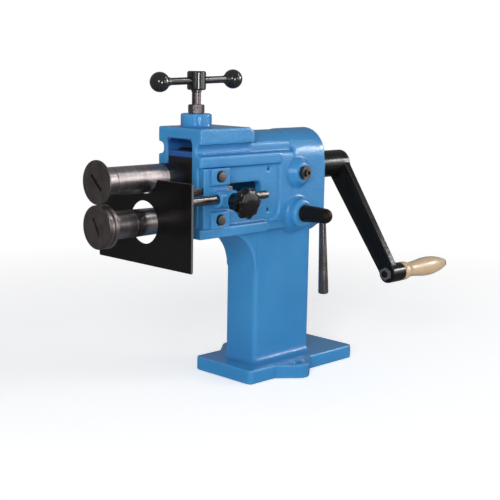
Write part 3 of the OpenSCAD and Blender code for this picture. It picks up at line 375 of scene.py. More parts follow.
enamel = blueEnamel()
upperDieSteel = turnedSteel("upperDieSteel", upperZ, dieSteelLook)
lowerDieSteel = turnedSteel("lowerDieSteel", lowerZ, dieSteelLook)
upperShaftSteel = turnedSteel("upperShaftSteel", upperZ, shaftSteelLook)
lowerShaftSteel = turnedSteel("lowerShaftSteel", lowerZ, shaftSteelLook)
groundSteel = brushedSteel("groundSteel", (150, 143, 140), (104, 97, 94), 0.22, stretch=(0.05, 1.0, 1.0))
screwSteel = brushedSteel("screwSteel", (128, 119, 119), (84, 77, 78), 0.28, stretch=(1.0, 1.0, 4.0))
nutSteel = brushedSteel("nutSteel", (150, 140, 142), (106, 98, 100), 0.26, stretch=(1.0, 1.0, 1.0))
blackened = blackSteel("blackenedSteel", (62, 57, 54), (88, 80, 76), 0.4)
boltSteel = blackSteel("boltSteel", (88, 84, 80), (120, 112, 106), 0.45)
darkChrome = brushedSteel("darkChrome", (158, 153, 152), (112, 107, 107), 0.24, stretch=(1.0, 1.0, 0.06))
handleBlack = plainPaint("handleBlack", (24, 22, 22), 0.15, ripple=60, depth=0.00005, shine=1.0)
crankPaint = plainPaint("crankPaint", (20, 19, 17), 0.2, ripple=110, depth=0.0005, shine=0.2)
# the fence plate's near and top edges carry a painted highlight
fencePaint = plainPaint("fencePaint", (13, 12, 12), 0.22, ripple=16, depth=0.0006, shine=0.3,
                        edgeHighlight=(-91.2, 291.7))
blockPaint = plainPaint("blockPaint", (30, 28, 28), 0.3, ripple=140, depth=0.0003, shine=0.3)
zincGrey = plainPaint("zincGrey", (88, 84, 84), 0.3, ripple=60, depth=0.0002, shine=0.6)
leverBlack = plainPaint("leverBlack", (23, 21, 19), 0.38, ripple=60, depth=0.0002, shine=0.14)
phenolic = plainPaint("phenolic", (9, 8, 8), 0.14, ripple=60, depth=0.0002, shine=0.55)
bronze = bearingBronze()
beech = beechGrip()
print("finishes made:", len(bpy.data.materials))


def span(node):  # a node's lowest and highest corners, in mm
    low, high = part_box(node)
    return [c / mm for c in low], [c / mm for c in high]


def between(low, high, axis):
    return (low[axis] + high[axis]) / 2


smoothBelow = 32  # degrees between faces that still shade as one


def shadeSmooth(mesh, angle):
    mesh.polygons.foreach_set("use_smooth", [True] * len(mesh.polygons))
    mesh.set_sharp_from_angle(angle=math.radians(angle))


def settle(name, mesh, node, material, smooth=smoothBelow):
    made = bpy.data.objects.new(name, mesh)
    bpy.context.scene.collection.objects.link(made)
    mesh.materials.clear()
    mesh.materials.append(material)
    if not mesh.has_custom_normals:
        shadeSmooth(mesh, smooth)
    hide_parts(node)
    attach(made, nodes[node]["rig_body"])


def toMesh(name, shape, turnFaces=False):
    if turnFaces:
        bmesh.ops.recalc_face_normals(shape, faces=shape.faces)
    mesh = bpy.data.meshes.new(name)
    shape.to_mesh(mesh)
    shape.free()
    return mesh


copyLook = {"merge": 2e-6, "flat": 0.6}  # metres between doubles, degrees between faces of one plane


def mergedCopy(node, flatten=False):  # the node's own shape with its doubles merged
    shape = bmesh.new()
    shape.from_mesh(nodes[node].data)
    bmesh.ops.remove_doubles(shape, verts=shape.verts, dist=copyLook["merge"])
    if flatten:
        bmesh.ops.dissolve_limit(shape, angle_limit=math.radians(copyLook["flat"]),
                                 verts=shape.verts, edges=shape.edges)
    return toMesh(node + "Copy", shape)


def withModifiers(mesh, steps):  # run modifiers over a mesh and keep the result
    holder = bpy.data.objects.new("holder", mesh)
    bpy.context.scene.collection.objects.link(holder)
    for kind, settings in steps:
        modifier = holder.modifiers.new(kind, kind)
        for key, value in settings.items():
            setattr(modifier, key, value)
    view = bpy.context.evaluated_depsgraph_get()
    view.update()
    done = bpy.data.meshes.new_from_object(holder.evaluated_get(view))
    bpy.data.objects.remove(holder)
    return done


bevelLook = {"segments": 3, "limit_method": "ANGLE", "angle_limit": math.radians(34),
             "use_clamp_overlap": True, "miter_outer": "MITER_ARC"}
flatLook = {"weight": 80, "keep_sharp": True}


def bevelled(node, width, reshape=None):
    mesh = mergedCopy(node, True)
    if reshape:
        reshape(mesh)
    mesh = withModifiers(mesh, [("BEVEL", {"width": width * mm, **bevelLook})])
    shadeSmooth(mesh, smoothBelow)
    return withModifiers(mesh, [("WEIGHTED_NORMAL", flatLook)])


def neighbours(mesh):
    edges = np.empty(len(mesh.edges) * 2, np.int64)
    mesh.edges.foreach_get("vertices", edges)
    return edges.reshape(-1, 2)


def relax(points, edges, count):  # each point goes halfway to the mean of its neighbours, again and again
    degree = np.bincount(edges.ravel(), minlength=len(points)).reshape(-1, 1)
    for k in range(count):
        total = np.zeros_like(points)
        for axis in range(3):
            total[:, axis] = (np.bincount(edges[:, 0], points[edges[:, 1], axis], len(points))
                              + np.bincount(edges[:, 1], points[edges[:, 0], axis], len(points)))
        points = points + 0.5 * (total / degree - points)
    return points


def softCasting(node, spec, material):  # remeshed, relaxed copy with cast edges
    mesh = withModifiers(mergedCopy(node), [("REMESH", {
        "mode": "VOXEL", "voxel_size": spec["voxel"] * mm, "adaptivity": 0.0, "use_smooth_shade": True})])
    points = np.empty(len(mesh.vertices) * 3)
    mesh.vertices.foreach_get("co", points)
    edges = neighbours(mesh)
    points = relax(points.reshape(-1, 3), edges, spec["relax"])
    mesh.vertices.foreach_set("co", points.ravel())
    mesh.update()
    # how far each point stands off its wider surroundings says edge or hollow
    wide = relax(points, edges, spec["feel"])
    normals = np.empty(len(mesh.vertices) * 3)
    mesh.vertices.foreach_get("normal", normals)
    stand = ((points - wide) * normals.reshape(-1, 3)).sum(1) / (spec["voxel"] * mm)
    for name, value in (("ridge", stand), ("hollow", -stand)):
        mark = mesh.attributes.new(name, "FLOAT", "POINT")
        mark.data.foreach_set("value", np.clip(value * spec["gain"], 0, 1).astype(np.float32))
    mesh = withModifiers(mesh, [("DECIMATE", {"ratio": spec["keep"]})])
    mesh = withModifiers(mesh, [("TRIANGULATE", {})])
    print(node, "softened:", len(mesh.polygons), "triangles")
    settle(node + "Cast", mesh, node, material, 75)


# arcs at corners: pieces per arc, the most of a side that an arc takes;
# runs longer than longRun get a point near each end, which keeps their shading straight
arcLook = {"steps": 6, "most": 0.49, "longRun": 1.5, "holdAt": 0.3}


def rounded(profile):  # corner list of (along, radius, round) to a line with arcs
    line = []
    for k, corner in enumerate(profile):
        here = np.array(corner[:2], float)
        turn = corner[2] if len(corner) > 2 else 0
        if not turn or k in (0, len(profile) - 1):
            line.append(here)
            continue
        before = np.array(profile[k - 1][:2], float) - here
        after = np.array(profile[k + 1][:2], float) - here
        a, b = before / np.linalg.norm(before), after / np.linalg.norm(after)
        half = math.acos(max(-1, min(1, float(a @ b)))) / 2
        room = arcLook["most"] * min(np.linalg.norm(before), np.linalg.norm(after))
        back = min(turn / math.tan(half), room)
        centre = here + (a + b) / np.linalg.norm(a + b) * back / math.cos(half)
        start, end = here + a * back - centre, here + b * back - centre
        steps = arcLook["steps"]
        for s in range(steps + 1):
            mixed = start * (1 - s / steps) + end * s / steps
            line.append(centre + mixed / np.linalg.norm(mixed) * np.linalg.norm(start))
    held = [line[0]]
    for here, there in zip(line, line[1:]):
        run = there - here
        length = np.linalg.norm(run)
        if length > arcLook["longRun"]:
            step = run / length * arcLook["holdAt"]
            held += [here + step, there - step]
        held.append(there)
    return held


def turned(name, profile, axis, centre=(0, 0, 0), segments=96):  # from axis to axis, or a closed ring
    line = rounded(profile)
    shape = bmesh.new()
    rows = []
    for along, radius in line:
        row = []
        for s in range(1 if radius < 1e-6 else segments):
            turn = 2 * math.pi * s / segments
            u, v = radius * math.cos(turn), radius * math.sin(turn)
            place = {"x": (along, u, v), "y": (v, along, u), "z": (u, v, along)}[axis]
            row.append(shape.verts.new([(p + c) * mm for p, c in zip(place, centre)]))
        rows.append(row)
    ring = len(rows[0]) > 1
    for low, high in zip(rows, rows[1:] + (rows[:1] if ring else [])):
        for s in range(segments):
            t = (s + 1) % segments
            corners = []
            for vert in (low[s % len(low)], low[t % len(low)], high[t % len(high)], high[s % len(high)]):
                if vert not in corners:
                    corners.append(vert)
            if len(corners) > 2:
                shape.faces.new(corners)
    return toMesh(name, shape, True)


def joined(name, meshes, move=None):
    shape = bmesh.new()
    for mesh in meshes:
        shape.from_mesh(mesh)
    if move:
        bmesh.ops.transform(shape, matrix=move, verts=shape.verts)
    return toMesh(name, shape)


# painted castings: the frame, the bracket, the cover and the cap in the window; the crank is black
castings = {
    "frame_casting": {"voxel": 1.25, "relax": 6, "feel": 10, "gain": 2.2, "keep": 0.42},
    "fence_bracket": {"voxel": 0.7, "relax": 7, "feel": 10, "gain": 2.0, "keep": 0.7},
    "gear_cover": {"voxel": 0.9, "relax": 3, "feel": 8, "gain": 1.6, "keep": 0.4},
    "block_cap": {"voxel": 0.6, "relax": 3, "feel": 8, "gain": 1.6, "keep": 0.4},
    "crank_arm": {"voxel": 0.9, "relax": 6, "feel": 8, "gain": 1.6, "keep": 0.7}}
for node, spec in castings.items():
    if node == "crank_arm":
        softCasting(node, spec, crankPaint)
    else:
        softCasting(node, spec, enamel)
print("castings done")

# machined pieces: their own shape with broken edges; finish, edge width in mm, slot
machined = {
    "upper_die": (upperDieSteel, 0.4, "bright_steel"),
    "lower_die": (lowerDieSteel, 0.3, "bright_steel"),
    "upper_die_screw": (upperDieSteel, 0.8, "bright_steel"),
    "lower_die_screw": (lowerDieSteel, 0.8, "bright_steel"),
    "upper_spacer": (upperDieSteel, 0.5, "bright_steel"),
    "lower_spacer": (lowerDieSteel, 0.4, "bright_steel"),
    "upper_shaft": (upperShaftSteel, 0.5, "bright_steel"),
    "lower_shaft": (lowerShaftSteel, 0.5, "bright_steel"),
    "lock_nut": (nutSteel, 0.5, "dark_steel"),
    "slide_block": (blockPaint, 1.4, "black_enamel"),
    "fence_plate": (fencePaint, 0.7, "black_enamel"),
    "fence_guide_bar": (groundSteel, 0.5, "bright_steel"),
    "fence_rod": (groundSteel, 0.3, "bright_steel"),
    "pivot_lock_nuts": (boltSteel, 0.8, "dark_steel"),
    "pivot_screws": (boltSteel, 0.5, "dark_steel"),
    "foot_keeper": (blackened, 0.4, "dark_steel"),
    "crank_washer": (groundSteel, 0.5, "bright_steel"),
    "crank_screw": (blackened, 0.5, "dark_steel"),
    "grip_nut": (zincGrey, 0.7, "dark_steel")}

# the fence's notch stands closer under the upper shaft than in the solid: its middle, radii and top
notchLook = {"middle": 300.4, "solid": 34.0, "shown": 27.9, "top": 292.4, "near": 0.3}


def narrowNotch(mesh):
    share = notchLook["shown"] / notchLook["solid"]
    for vert in mesh.vertices:
        across, up = vert.co.y / mm, vert.co.z / mm - notchLook["middle"]
        if abs(math.hypot(across, up) - notchLook["solid"]) < notchLook["near"]:
            vert.co.y = across * share * mm
            vert.co.z = min(up * share + notchLook["middle"], notchLook["top"]) * mm


# the rollers' hubs and shoulders look a little stouter than their solids: radii between low and high grow
hubLook = {"low": 15.2, "high": 17.6, "grow": 1.0, "reach": -222}
hubAxis = {"upper_die": upperZ, "upper_spacer": upperZ, "upper_shaft": upperZ, "slide_block": upperZ,
           "lower_die": lowerZ, "lower_spacer": lowerZ, "lower_shaft": lowerZ}


def stoutHub(axisZ):
    def grow(mesh):
        for vert in mesh.vertices:
            across, up = vert.co.y / mm, vert.co.z / mm - axisZ
            radius = math.hypot(across, up)
            if hubLook["low"] < radius < hubLook["high"] and vert.co.x / mm < hubLook["reach"]:
                share = (radius + hubLook["grow"]) / radius
                vert.co.y, vert.co.z = across * share * mm, (up * share + axisZ) * mm
    return grow


reshapes = {node: stoutHub(axisZ) for node, axisZ in hubAxis.items()}
reshapes["fence_plate"] = narrowNotch
# round pieces that stand at another angle than their solids: axis, degrees
turnedOn = {"upper_die_screw": ("X", -83), "lock_nut": ("Z", -16)}
for node, (finish, edge, slot) in machined.items():
    mesh = bevelled(node, edge, reshapes.get(node))
    if node in turnedOn:
        middle = Matrix.Translation((Vector(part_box(node)[0]) + Vector(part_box(node)[1])) / 2)
        axis, angle = turnedOn[node]
        mesh.transform(middle @ Matrix.Rotation(math.radians(angle), 4, axis) @ middle.inverted())
    settle(node + "Machined", mesh, node, finish)
print("machined pieces done")

# T handle: hub with a dimple on top, screw with a collar below the hub, bar, and balls with a short neck
handleLook = {
    "hubEdge": 1.6, "hubRound": 0.5, "dimpleR": 4, "dimpleDepth": 0.6, "dimpleRound": 0.3, "chamfer": 0.8,
    "collarHeight": 3.0, "collarOver": 0.9, "collarSlope": 0.9, "barR": 4.75, "barShort": 3,
    "ballR": 13.0, "ballRows": 40, "neckOver": 1.2, "neckLength": 2.4, "neckRound": 1.0, "neckSunk": 0.03,
    "span": 131.0, "shift": 1.6, "lean": 1.7}


def makeHub(low, high, place):
    look = handleLook
    radius, edge, soft = (high[1] - low[1]) / 2, look["hubEdge"], look["hubRound"]
    foot, top = low[2], high[2]
    floor = top - look["dimpleDepth"]
    line = [(foot, 0), (foot, radius - edge), (foot + edge, radius, soft), (top - edge, radius, soft),
            (top, radius - edge, soft), (top, look["dimpleR"], soft),
            (floor, look["dimpleR"] - look["dimpleDepth"], look["dimpleRound"]), (floor, 0)]
    settle("tHubTurned", turned("tHub", line, "z", place), "t_hub", handleBlack)


def makeScrew(hubLow, place):
    look = handleLook
    low, high = span("pressure_screw")
    foot, top, radius, chamfer = low[2], high[2], (high[1] - low[1]) / 2, look["chamfer"]
    collar, wide = hubLow - look["collarHeight"], radius + look["collarOver"]
    line = [(foot, 0), (foot, radius - chamfer), (foot + chamfer, radius), (collar, radius, 0.6),
            (collar + look["collarSlope"], wide, 0.3), (hubLow, wide), (hubLow, radius),
            (top, radius), (top, 0)]
    settle("pressureScrewTurned", turned("screw", line, "z", place), "pressure_screw", screwSteel)


def ballLine(end, side):  # a ball's outline from its outer pole to the neck round the bar
    look = handleLook
    ballR, barR, rows = look["ballR"], look["barR"], look["ballRows"]
    neckR = barR + look["neckOver"]
    limit = math.acos(-math.sqrt(1 - (neckR / ballR) ** 2)) - look["neckSunk"]
    line = [(end - side * ballR * math.cos(limit * k / rows), ballR * math.sin(limit * k / rows))
            for k in range(rows + 1)]
    tip = end + side * (ballR + look["neckLength"])
    line[-1] = line[-1] + (look["neckRound"],)
    return line + [(tip, neckR, 0.6), (tip, barR - 0.2), (tip - side, 0)]


def makeHandle():
    look = handleLook
    low, high = span("t_hub")
    x, y = between(low, high, 0), between(low, high, 1)
    makeHub(low, high, (x, y, 0))
    makeScrew(low[2], (x, y, 0))
    lean = (Matrix.Translation((x * mm, y * mm, between(low, high, 2) * mm))
            @ Matrix.Rotation(math.radians(-look["lean"]), 4, "Y")
            @ Matrix.Translation((look["shift"] * mm, 0, 0)))
    half, barR, chamfer = look["span"] / 2, look["barR"], look["chamfer"]
    reach = half - look["barShort"]
    bar = turned("bar", [(-reach, 0), (-reach, barR - chamfer), (chamfer - reach, barR),
                         (reach - chamfer, barR), (reach, barR - chamfer), (reach, 0)], "x")
    settle("tBarTurned", joined("bar", [bar], lean), "t_bar", handleBlack)
    balls = [turned("ball", ballLine(end, side), "x") for end, side in ((-half, 1), (half, -1))]
    settle("ballKnobsTurned", joined("balls", balls, lean), "ball_knobs", handleBlack, 40)


makeHandle()
print("T handle done")

# lever that shifts the lower shaft: black hub with a round end, dark rod that widens downwards
leverLook = {
    "tipR": 10.5, "tipRows": 24, "groove": (-59.5, -59.0, -58.0, -57.5), "grooveDepth": 1.3,
    "collarEnd": -54.3, "shankR": 9, "lean": 3.5, "rodAt": 0.72, "rodStart": -2.5, "rodNeckR": 3.7,
    "rodShoulder": -9.6, "rodTop": 9.5, "rodEnd": 14.6, "rodLength": 111.5, "endRound": 2.2}


def makeLever():
    look = leverLook
    low, high = span("lever_hub")
    x, z = between(low, high, 0), between(low, high, 2)
    hubR = (high[0] - low[0]) / 2
    tipR, rows, out = look["tipR"], look["tipRows"], low[1]
    turns = [math.pi / 2 * k / rows for k in range(rows)]
    line = [(out + tipR - tipR * math.cos(turn), tipR * math.sin(turn)) for turn in turns]
    first, second, third, fourth = look["groove"]
    deep, end, shankR = hubR - look["grooveDepth"], look["collarEnd"], look["shankR"]
    line += [(out + tipR, tipR), (first, hubR - 0.6, 1.0), (second, deep, 0.3), (third, deep, 0.3),
             (fourth, hubR, 0.5), (end, hubR, 0.8), (end, shankR), (high[1], shankR), (high[1], 0)]
    hub = turned("hub", line, "y", (x, 0, z))
    settle("leverHubTurned", hub, "lever_hub", leverBlack, 40)
    start, neckR = look["rodStart"], look["rodNeckR"]
    shoulder, length = look["rodShoulder"], look["rodLength"]
    line = [(start, 0), (start, neckR), (shoulder, neckR), (shoulder, look["rodTop"] / 2, 0.5),
            (-length, look["rodEnd"] / 2, look["endRound"]), (-length, 0)]
    rod = turned("rod", line, "z", segments=64)
    lean = (Matrix.Translation((x * mm, (out + tipR * 2 * look["rodAt"]) * mm, z * mm))
            @ Matrix.Rotation(math.radians(-look["lean"]), 4, "Y"))
    settle("leverRodTurned", joined("rod", [rod], lean), "lever_rod", darkChrome, 40)


makeLever()
print("lever done")

# crank grip: collar, waist, belly and tip, turned in beech, held by a bolt with a round head
gripLook = {
    "collar": 13.9, "collarAt": 0.055, "waist": 10.9, "waistAt": 0.2, "belly": 14.2, "bellyAt": 0.6,
    "tip": 7.0, "tipPower": 1.15, "tipEdge": 0.6, "edgeDrop": 0.9, "lead": 2.2, "bore": 5.2, "rows": 60}
gripBoltLook = {"radius": 5.0, "chamfer": 0.8, "room": 0.2, "headR": 6.6, "rim": 1.2, "crownR": 4.6,
                "topR": 2.0}


def ease(a, b, t):
    return a + (b - a) * (1 - math.cos(math.pi * t)) / 2


def gripRadius(where):  # at a share of the grip's length
    look = gripLook
    collarAt, waistAt, bellyAt = look["collarAt"], look["waistAt"], look["bellyAt"]
    if where < collarAt:
        return look["collar"] - look["edgeDrop"] * ((collarAt - where) / collarAt) ** 2
    if where < waistAt:
        return ease(look["collar"], look["waist"], (where - collarAt) / (waistAt - collarAt))
    if where < bellyAt:
        return ease(look["waist"], look["belly"], (where - waistAt) / (bellyAt - waistAt))
    u = (where - bellyAt) / (1 - bellyAt)
    return look["tip"] + (look["belly"] - look["tip"]) * math.cos(math.pi / 2 * u ** look["tipPower"])


def makeGrip():
    look = gripLook
    low, high = span("crank_grip")
    place = (0, between(low, high, 1), between(low, high, 2))
    start, end, lead = low[0], high[0], look["lead"]
    length = end - start
    line = [(start, look["bore"]), (start, look["collar"] - 4, 1.5),
            (start + lead, look["collar"] - look["edgeDrop"], 2.0)]
    for k in range(1, look["rows"] + 1):
        at = start + lead + (length - lead) * k / look["rows"]
        line.append((at, gripRadius((at - start) / length)))
    line[-1] = (end - look["tipEdge"], look["tip"])
    line += [(end, look["tip"] - look["edgeDrop"]), (end, look["bore"])]
    settle("crankGripTurned", turned("grip", line, "x", place), "crank_grip", beech, 50)
    look = gripBoltLook
    low, high = span("grip_bolt")
    start, top, radius, chamfer = low[0], high[0], look["radius"], look["chamfer"]
    head = end + look["room"]
    line = [(start, 0), (start, radius - chamfer), (start + chamfer, radius), (head, radius),
            (head, look["headR"], 0.4), (head + look["rim"], look["headR"], 0.8),
            (top - 1.0, look["crownR"], 1.4), (top, look["topR"], 1.0), (top, 0)]
    settle("gripBoltTurned", turned("bolt", line, "x", place), "grip_bolt", leverBlack, 40)


makeGrip()
print("grip done")

# fasteners: one turned screw, set out on a grid of points by a geometry tree; sizes in mm
fasteners = {
    "bracket_bolts": {"headR": 6.8, "headT": 6.0, "dome": 0.7, "slot": 0.0, "shankR": 4, "axis": "y",
                      "finish": boltSteel},
    "cover_screws": {"headR": 3.5, "headT": 2.6, "dome": 1.1, "slot": 1.1, "shankR": 2, "axis": "x",
                     "finish": blackened},
    "cap_screws": {"headR": 3.4, "headT": 2.0, "dome": 0.7, "slot": 1.0, "shankR": 2, "axis": "z",
                   "finish": blackened}}
headLook = {"chamfer": 0.5, "edgeRound": 0.4, "crownAt": 0.35, "crownR": 0.62, "crownRound": 0.6,
            "slotFloor": 0.45, "slotEnd": 0.2, "segments": 40}


def slottedScrew(spec, shank):  # head upwards at the origin, shank down
    look = headLook
    r, t, dome, slot, shankR = (spec[key] for key in ("headR", "headT", "dome", "slot", "shankR"))
    chamfer = look["chamfer"]
    line = [(-shank, 0), (-shank, shankR - chamfer), (chamfer - shank, shankR), (0, shankR), (0, r),
            (t - dome, r, look["edgeRound"]),
            (t - dome * look["crownAt"], r * look["crownR"], look["crownRound"]), (t, 0)]
    shape = bmesh.new()
    shape.from_mesh(turned("screw", line, "z", segments=look["segments"]))
    if slot:  # the slot's floor: head points inside the slot's width go down
        for side in (-1, 1):
            cut = bmesh.ops.bisect_plane(shape, geom=shape.verts[:] + shape.edges[:] + shape.faces[:],
                                         plane_co=(0, side * slot * mm / 2, 0), plane_no=(0, 1, 0))
            edges = [e for e in cut["geom_cut"] if isinstance(e, bmesh.types.BMEdge)]
            edges = [e for e in edges if min(v.co.z for v in e.verts) > look["slotEnd"] * t * mm]
            bmesh.ops.split_edges(shape, edges=edges)
        floor = look["slotFloor"] * t * mm
        for face in shape.faces:
            if abs(face.calc_center_median().y) < slot * mm / 2 and face.calc_center_median().z > floor:
                for vert in face.verts:
                    vert.co.z = min(vert.co.z, floor)
    return toMesh("slottedScrew", shape)


def setOut(node, spec):
    low, high = span(node)
    axis = "xyz".index(spec["axis"])
    across = [k for k in range(3) if k != axis]
    width, depth = (high[k] - low[k] - 2 * spec["headR"] for k in across)
    outward = -1 if spec["axis"] == "y" else 1
    face = low[axis] + spec["headT"] if outward < 0 else high[axis] - spec["headT"]
    shank = (high[axis] - low[axis]) - spec["headT"]
    pattern = bpy.data.objects.new("pattern", slottedScrew(spec, shank))
    least = 1e-3  # a single row still needs a width
    tree = Shaper(node + "Places", {
        "Width": max(width, least) * mm, "Depth": max(depth, least) * mm,
        "Columns": 2 if width > 1 else 1, "Rows": 2 if depth > 1 else 1,
        "Screw": pattern, "Finish": spec["finish"]})
    line = tree.node("GeometryNodeMeshLine", {"mode": "OFFSET"}, {
        "Count": tree.size("Columns"), "Offset": tree.vector(tree.size("Width"))})
    column = tree.node("GeometryNodeMeshLine", {"mode": "OFFSET"}, {
        "Count": tree.size("Rows"), "Offset": tree.vector(0.0, tree.size("Depth"))})
    places = tree.node("GeometryNodeInstanceOnPoints", None, {"Points": line, "Instance": column})
    places = tree.node("GeometryNodeRealizeInstances", None, {0: places})
    info = tree.node("GeometryNodeObjectInfo", None, {"Object": tree.size("Screw")}, output=4)
    screws = tree.node("GeometryNodeInstanceOnPoints", None, {"Points": places, "Instance": info})
    mesh = tree.run(screws, tree.size("Finish"))
    # the grid lies in XY from its corner: turn each axis to its own place
    shape = bmesh.new()
    shape.from_mesh(mesh)
    start = [low[k] + spec["headR"] for k in across]
    for vert in shape.verts:
        u, v, w = vert.co
        done = [0, 0, 0]
        done[across[0]], done[across[1]] = u + start[0] * mm, v + start[1] * mm
        done[axis] = face * mm + outward * w
        vert.co = done
    made = toMesh(node, shape, True)
    bpy.data.objects.remove(pattern)
    settle(node + "SetOut", made, node, spec["finish"], 35)


for node, spec in fasteners.items():
    setOut(node, spec)
print("fasteners done")

# star knob: a rounded disc whose radius dips between the lobes, drawn by a geometry tree, on a round core
knobLook = {
    "radius": 21.5, "thickness": 16.0, "lobes": 10, "dip": 0.12, "dipPower": 0.9, "rimPower": 3.0,
    "square": 0.62, "phase": 10.0, "columns": 193, "rows": 41, "merge": 2e-5,
    "core": 0.55, "coreSunk": 2, "bore": 4.2, "boreDepth": 8}


def makeKnob():
    look = knobLook
    low, high = span("star_knob")
    x, z, face, back = between(low, high, 0), between(low, high, 2), low[1], high[1]
    tree = Shaper("starKnob", {
        "Radius": look["radius"] * mm, "Thickness": look["thickness"] * mm, "Lobes": float(look["lobes"]),
        "Dip": look["dip"], "Square": look["square"], "Finish": phenolic})
    grid = tree.node("GeometryNodeMeshGrid", None, {
        "Size X": 1.0, "Size Y": 1.0, "Vertices X": look["columns"], "Vertices Y": look["rows"]})
    u, v = tree.parts(tree.node("GeometryNodeInputPosition"))[:2]
    around, over = u * (2 * math.pi), v * math.pi
    lobe = abs((around * tree.size("Lobes") * 0.5).sine()) ** look["dipPower"]
    level = abs(over.cosine()) ** tree.size("Square")
    rise = over.sine().sign() * abs(over.sine()) ** tree.size("Square")
    reach = tree.size("Radius") * level * (1 - tree.size("Dip") * lobe * level ** look["rimPower"])
    place = tree.vector(reach * around.cosine(), reach * around.sine(), rise * tree.size("Thickness") * 0.5)
    disc = tree.node("GeometryNodeSetPosition", None, {"Geometry": grid, "Position": place})
    disc = tree.node("GeometryNodeMergeByDistance", None, {"Geometry": disc, "Distance": look["merge"]})
    shape = bmesh.new()
    shape.from_mesh(tree.run(disc, tree.size("Finish")))
    move = (Matrix.Translation((x * mm, (face + look["thickness"] / 2) * mm, z * mm))
            @ Matrix.Rotation(math.radians(look["phase"]), 4, "Y")
            @ Matrix.Rotation(math.radians(90), 4, "X"))
    bmesh.ops.transform(shape, matrix=move, verts=shape.verts)
    disc = toMesh("disc", shape, True)
    coreR, front, bore = look["radius"] * look["core"], face + look["coreSunk"], look["bore"]
    floor = back - look["boreDepth"]
    line = [(front, 0), (front, coreR), (back - 1.0, coreR, 0.8), (back, coreR - 1, 0.4),
            (back, bore), (floor, bore), (floor, 0)]
    core = turned("core", line, "y", (x, 0, z), 64)
    settle("starKnobMoulded", joined("knob", [disc, core]), "star_knob", phenolic, 40)


makeKnob()
print("star knob done")

# the other CAD nodes keep their shape and get a finish
kept = {
    bronze: ["lower_front_bush", "lever_bush", "swivel_bush", "block_bush", "sleeve_bush"],
    upperShaftSteel: ["upper_gear", "upper_gear_key", "crank_key"],
    lowerShaftSteel: ["lower_gear", "lower_gear_key", "adjusting_sleeve"],
    groundSteel: ["knob_stud", "thrust_foot"],
    blackened: ["upper_collar", "lower_collar", "swivel_housing"]}
for material, names in kept.items():
    for name in names:
        mesh = nodes[name].data
        mesh.materials.clear()
        mesh.materials.append(material)
print("kept nodes finished")

skyLook = {"light": 0.25, "tint": (0.91, 0.94, 1.0, 1.0)}  # white where it is seen, dimmer as a light


def makeSky():
    world = bpy.data.worlds.new("studio")
    bpy.context.scene.world = world
    world.use_nodes = True
    sky = Graph(world.node_tree)
    sky.tree.nodes.clear()
    seen = sky.ray("Is Camera Ray") + sky.ray("Is Transmission Ray")
    level = seen * (1 - skyLook["light"]) + skyLook["light"]
    colour = sky.mix(seen, skyLook["tint"], white)
    back = sky.node("ShaderNodeBackground", None, {"Color": colour, "Strength": level})
    sky.node("ShaderNodeOutputWorld", None, {"Surface": back})


# pale floor that fades to white between two distances; mirrored says how bright it looks in reflections
floorLook = {"size": 16, "cells": 8, "drop": 0.0003, "tone": (0.86, 0.86, 0.86), "lift": 0.5,
             "fade": (0.45, 1.1), "mirrored": 0.35, "farMirrored": 0.2}


def makeFloor():
    look = floorLook
    bpy.ops.mesh.primitive_grid_add(size=look["size"], x_subdivisions=look["cells"],
                                    y_subdivisions=look["cells"], location=(0, 0, -look["drop"]))
    floor = bpy.context.object
    floor.name = "floor"
    f = Finish("floorPaper")
    seen, mirrored = f.ray("Is Camera Ray"), f.ray("Is Glossy Ray")
    x, y = f.parts(f.place)[:2]
    away = f.spread((x * x + y * y) ** 0.5, *look["fade"])
    dim = tuple(c * look["mirrored"] for c in look["tone"])
    paper = f.node("ShaderNodeBsdfDiffuse", None, {"Color": f.mix(mirrored, (*look["tone"], 1), (*dim, 1))})
    glow = f.node("ShaderNodeEmission", None, {"Color": white, "Strength": seen * look["lift"]})
    near = f.node("ShaderNodeAddShader", None, {0: paper, 1: glow})
    far = f.node("ShaderNodeEmission", None, {
        "Color": white, "Strength": seen + mirrored * look["farMirrored"]})
    both = f.node("ShaderNodeMixShader", None, {0: away * (seen + mirrored), 1: near, 2: far})
    f.node("ShaderNodeOutputMaterial", None, {"Surface": both})
    floor.data.materials.append(f.material)


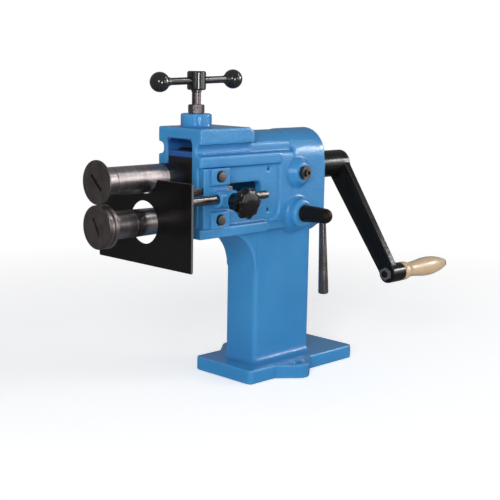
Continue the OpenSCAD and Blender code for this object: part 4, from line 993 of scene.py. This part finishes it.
# soft boxes: place, aim, width, height, watts, and which light each gives
lamps = [
    ((-1.80, -1.25, 0.80), (-0.05, 0.0, 0.28), 0.8, 1.4, 31, "diffuse"),
    ((-1.66, -1.17, 0.76), (-0.05, 0.0, 0.28), 0.36, 0.5, 7, "reflections"),
    ((1.35, -1.15, 0.95), (-0.1, 0.0, 0.28), 0.45, 1.1, 7, "diffuse"),
    ((1.28, -1.09, 0.915), (-0.1, 0.0, 0.28), 0.43, 1.05, 3.6, "reflections"),
    ((0.55, -2.05, 0.72), (-0.1, 0.0, 0.25), 0.35, 0.8, 3, "both"),
    ((1.6, -1.6, 0.52), (0.0, 0.0, 0.25), 1.6, 0.95, 6, "both"),
    ((-0.75, -1.95, 0.31), (-0.05, 0.0, 0.31), 0.22, 0.56, 9, "reflections"),
    ((1.17, -0.86, 1.60), (-0.05, 0.0, 0.28), 0.22, 0.22, 3, "reflections"),
    ((1.45, -0.85, 0.78), (0.2, -0.05, 0.2), 0.24, 0.3, 10, "reflections")]


def makeLamps():
    for k, (place, aim, width, height, watts, gives) in enumerate(lamps):
        lamp = bpy.data.lights.new("softbox%d" % k, "AREA")
        lamp.shape = "RECTANGLE"
        lamp.size = width
        lamp.size_y = height
        lamp.energy = watts
        holder = bpy.data.objects.new("softbox%d" % k, lamp)
        bpy.context.scene.collection.objects.link(holder)
        holder.location = place
        holder.visible_glossy = gives != "diffuse"
        holder.visible_diffuse = gives != "reflections"
        holder.rotation_euler = (Vector(aim) - Vector(place)).to_track_quat("-Z", "Y").to_euler()


# the camera stands at the photograph's place, fitted to the machine's straight edges
cameraLook = {"eye": (-1.15788, -1.07377, 0.44340), "yaw": 44.32, "pitch": 9.837, "roll": 1.048,
              "lens": 78.97, "sensor": 36, "farthest": 50}


def makeCamera():
    look = cameraLook
    yaw, pitch, roll = (math.radians(look[key]) for key in ("yaw", "pitch", "roll"))
    ahead = Vector((math.cos(yaw) * math.cos(pitch), math.sin(yaw) * math.cos(pitch), -math.sin(pitch)))
    level = ahead.cross(Vector((0, 0, 1))).normalized()
    upright = level.cross(ahead)
    right = level * math.cos(roll) + upright * math.sin(roll)
    up = upright * math.cos(roll) - level * math.sin(roll)
    lens = bpy.data.cameras.new("camera")
    lens.lens = look["lens"]
    lens.sensor_width = look["sensor"]
    lens.clip_end = look["farthest"]
    camera = bpy.data.objects.new("camera", lens)
    bpy.context.scene.collection.objects.link(camera)
    turn = Matrix((right, up, -ahead)).transposed().to_4x4()
    camera.matrix_world = Matrix.Translation(look["eye"]) @ turn
    bpy.context.scene.camera = camera


bpy.context.scene.view_settings.view_transform = "Standard"
makeSky()
makeFloor()
makeLamps()
makeCamera()
print("studio ready")
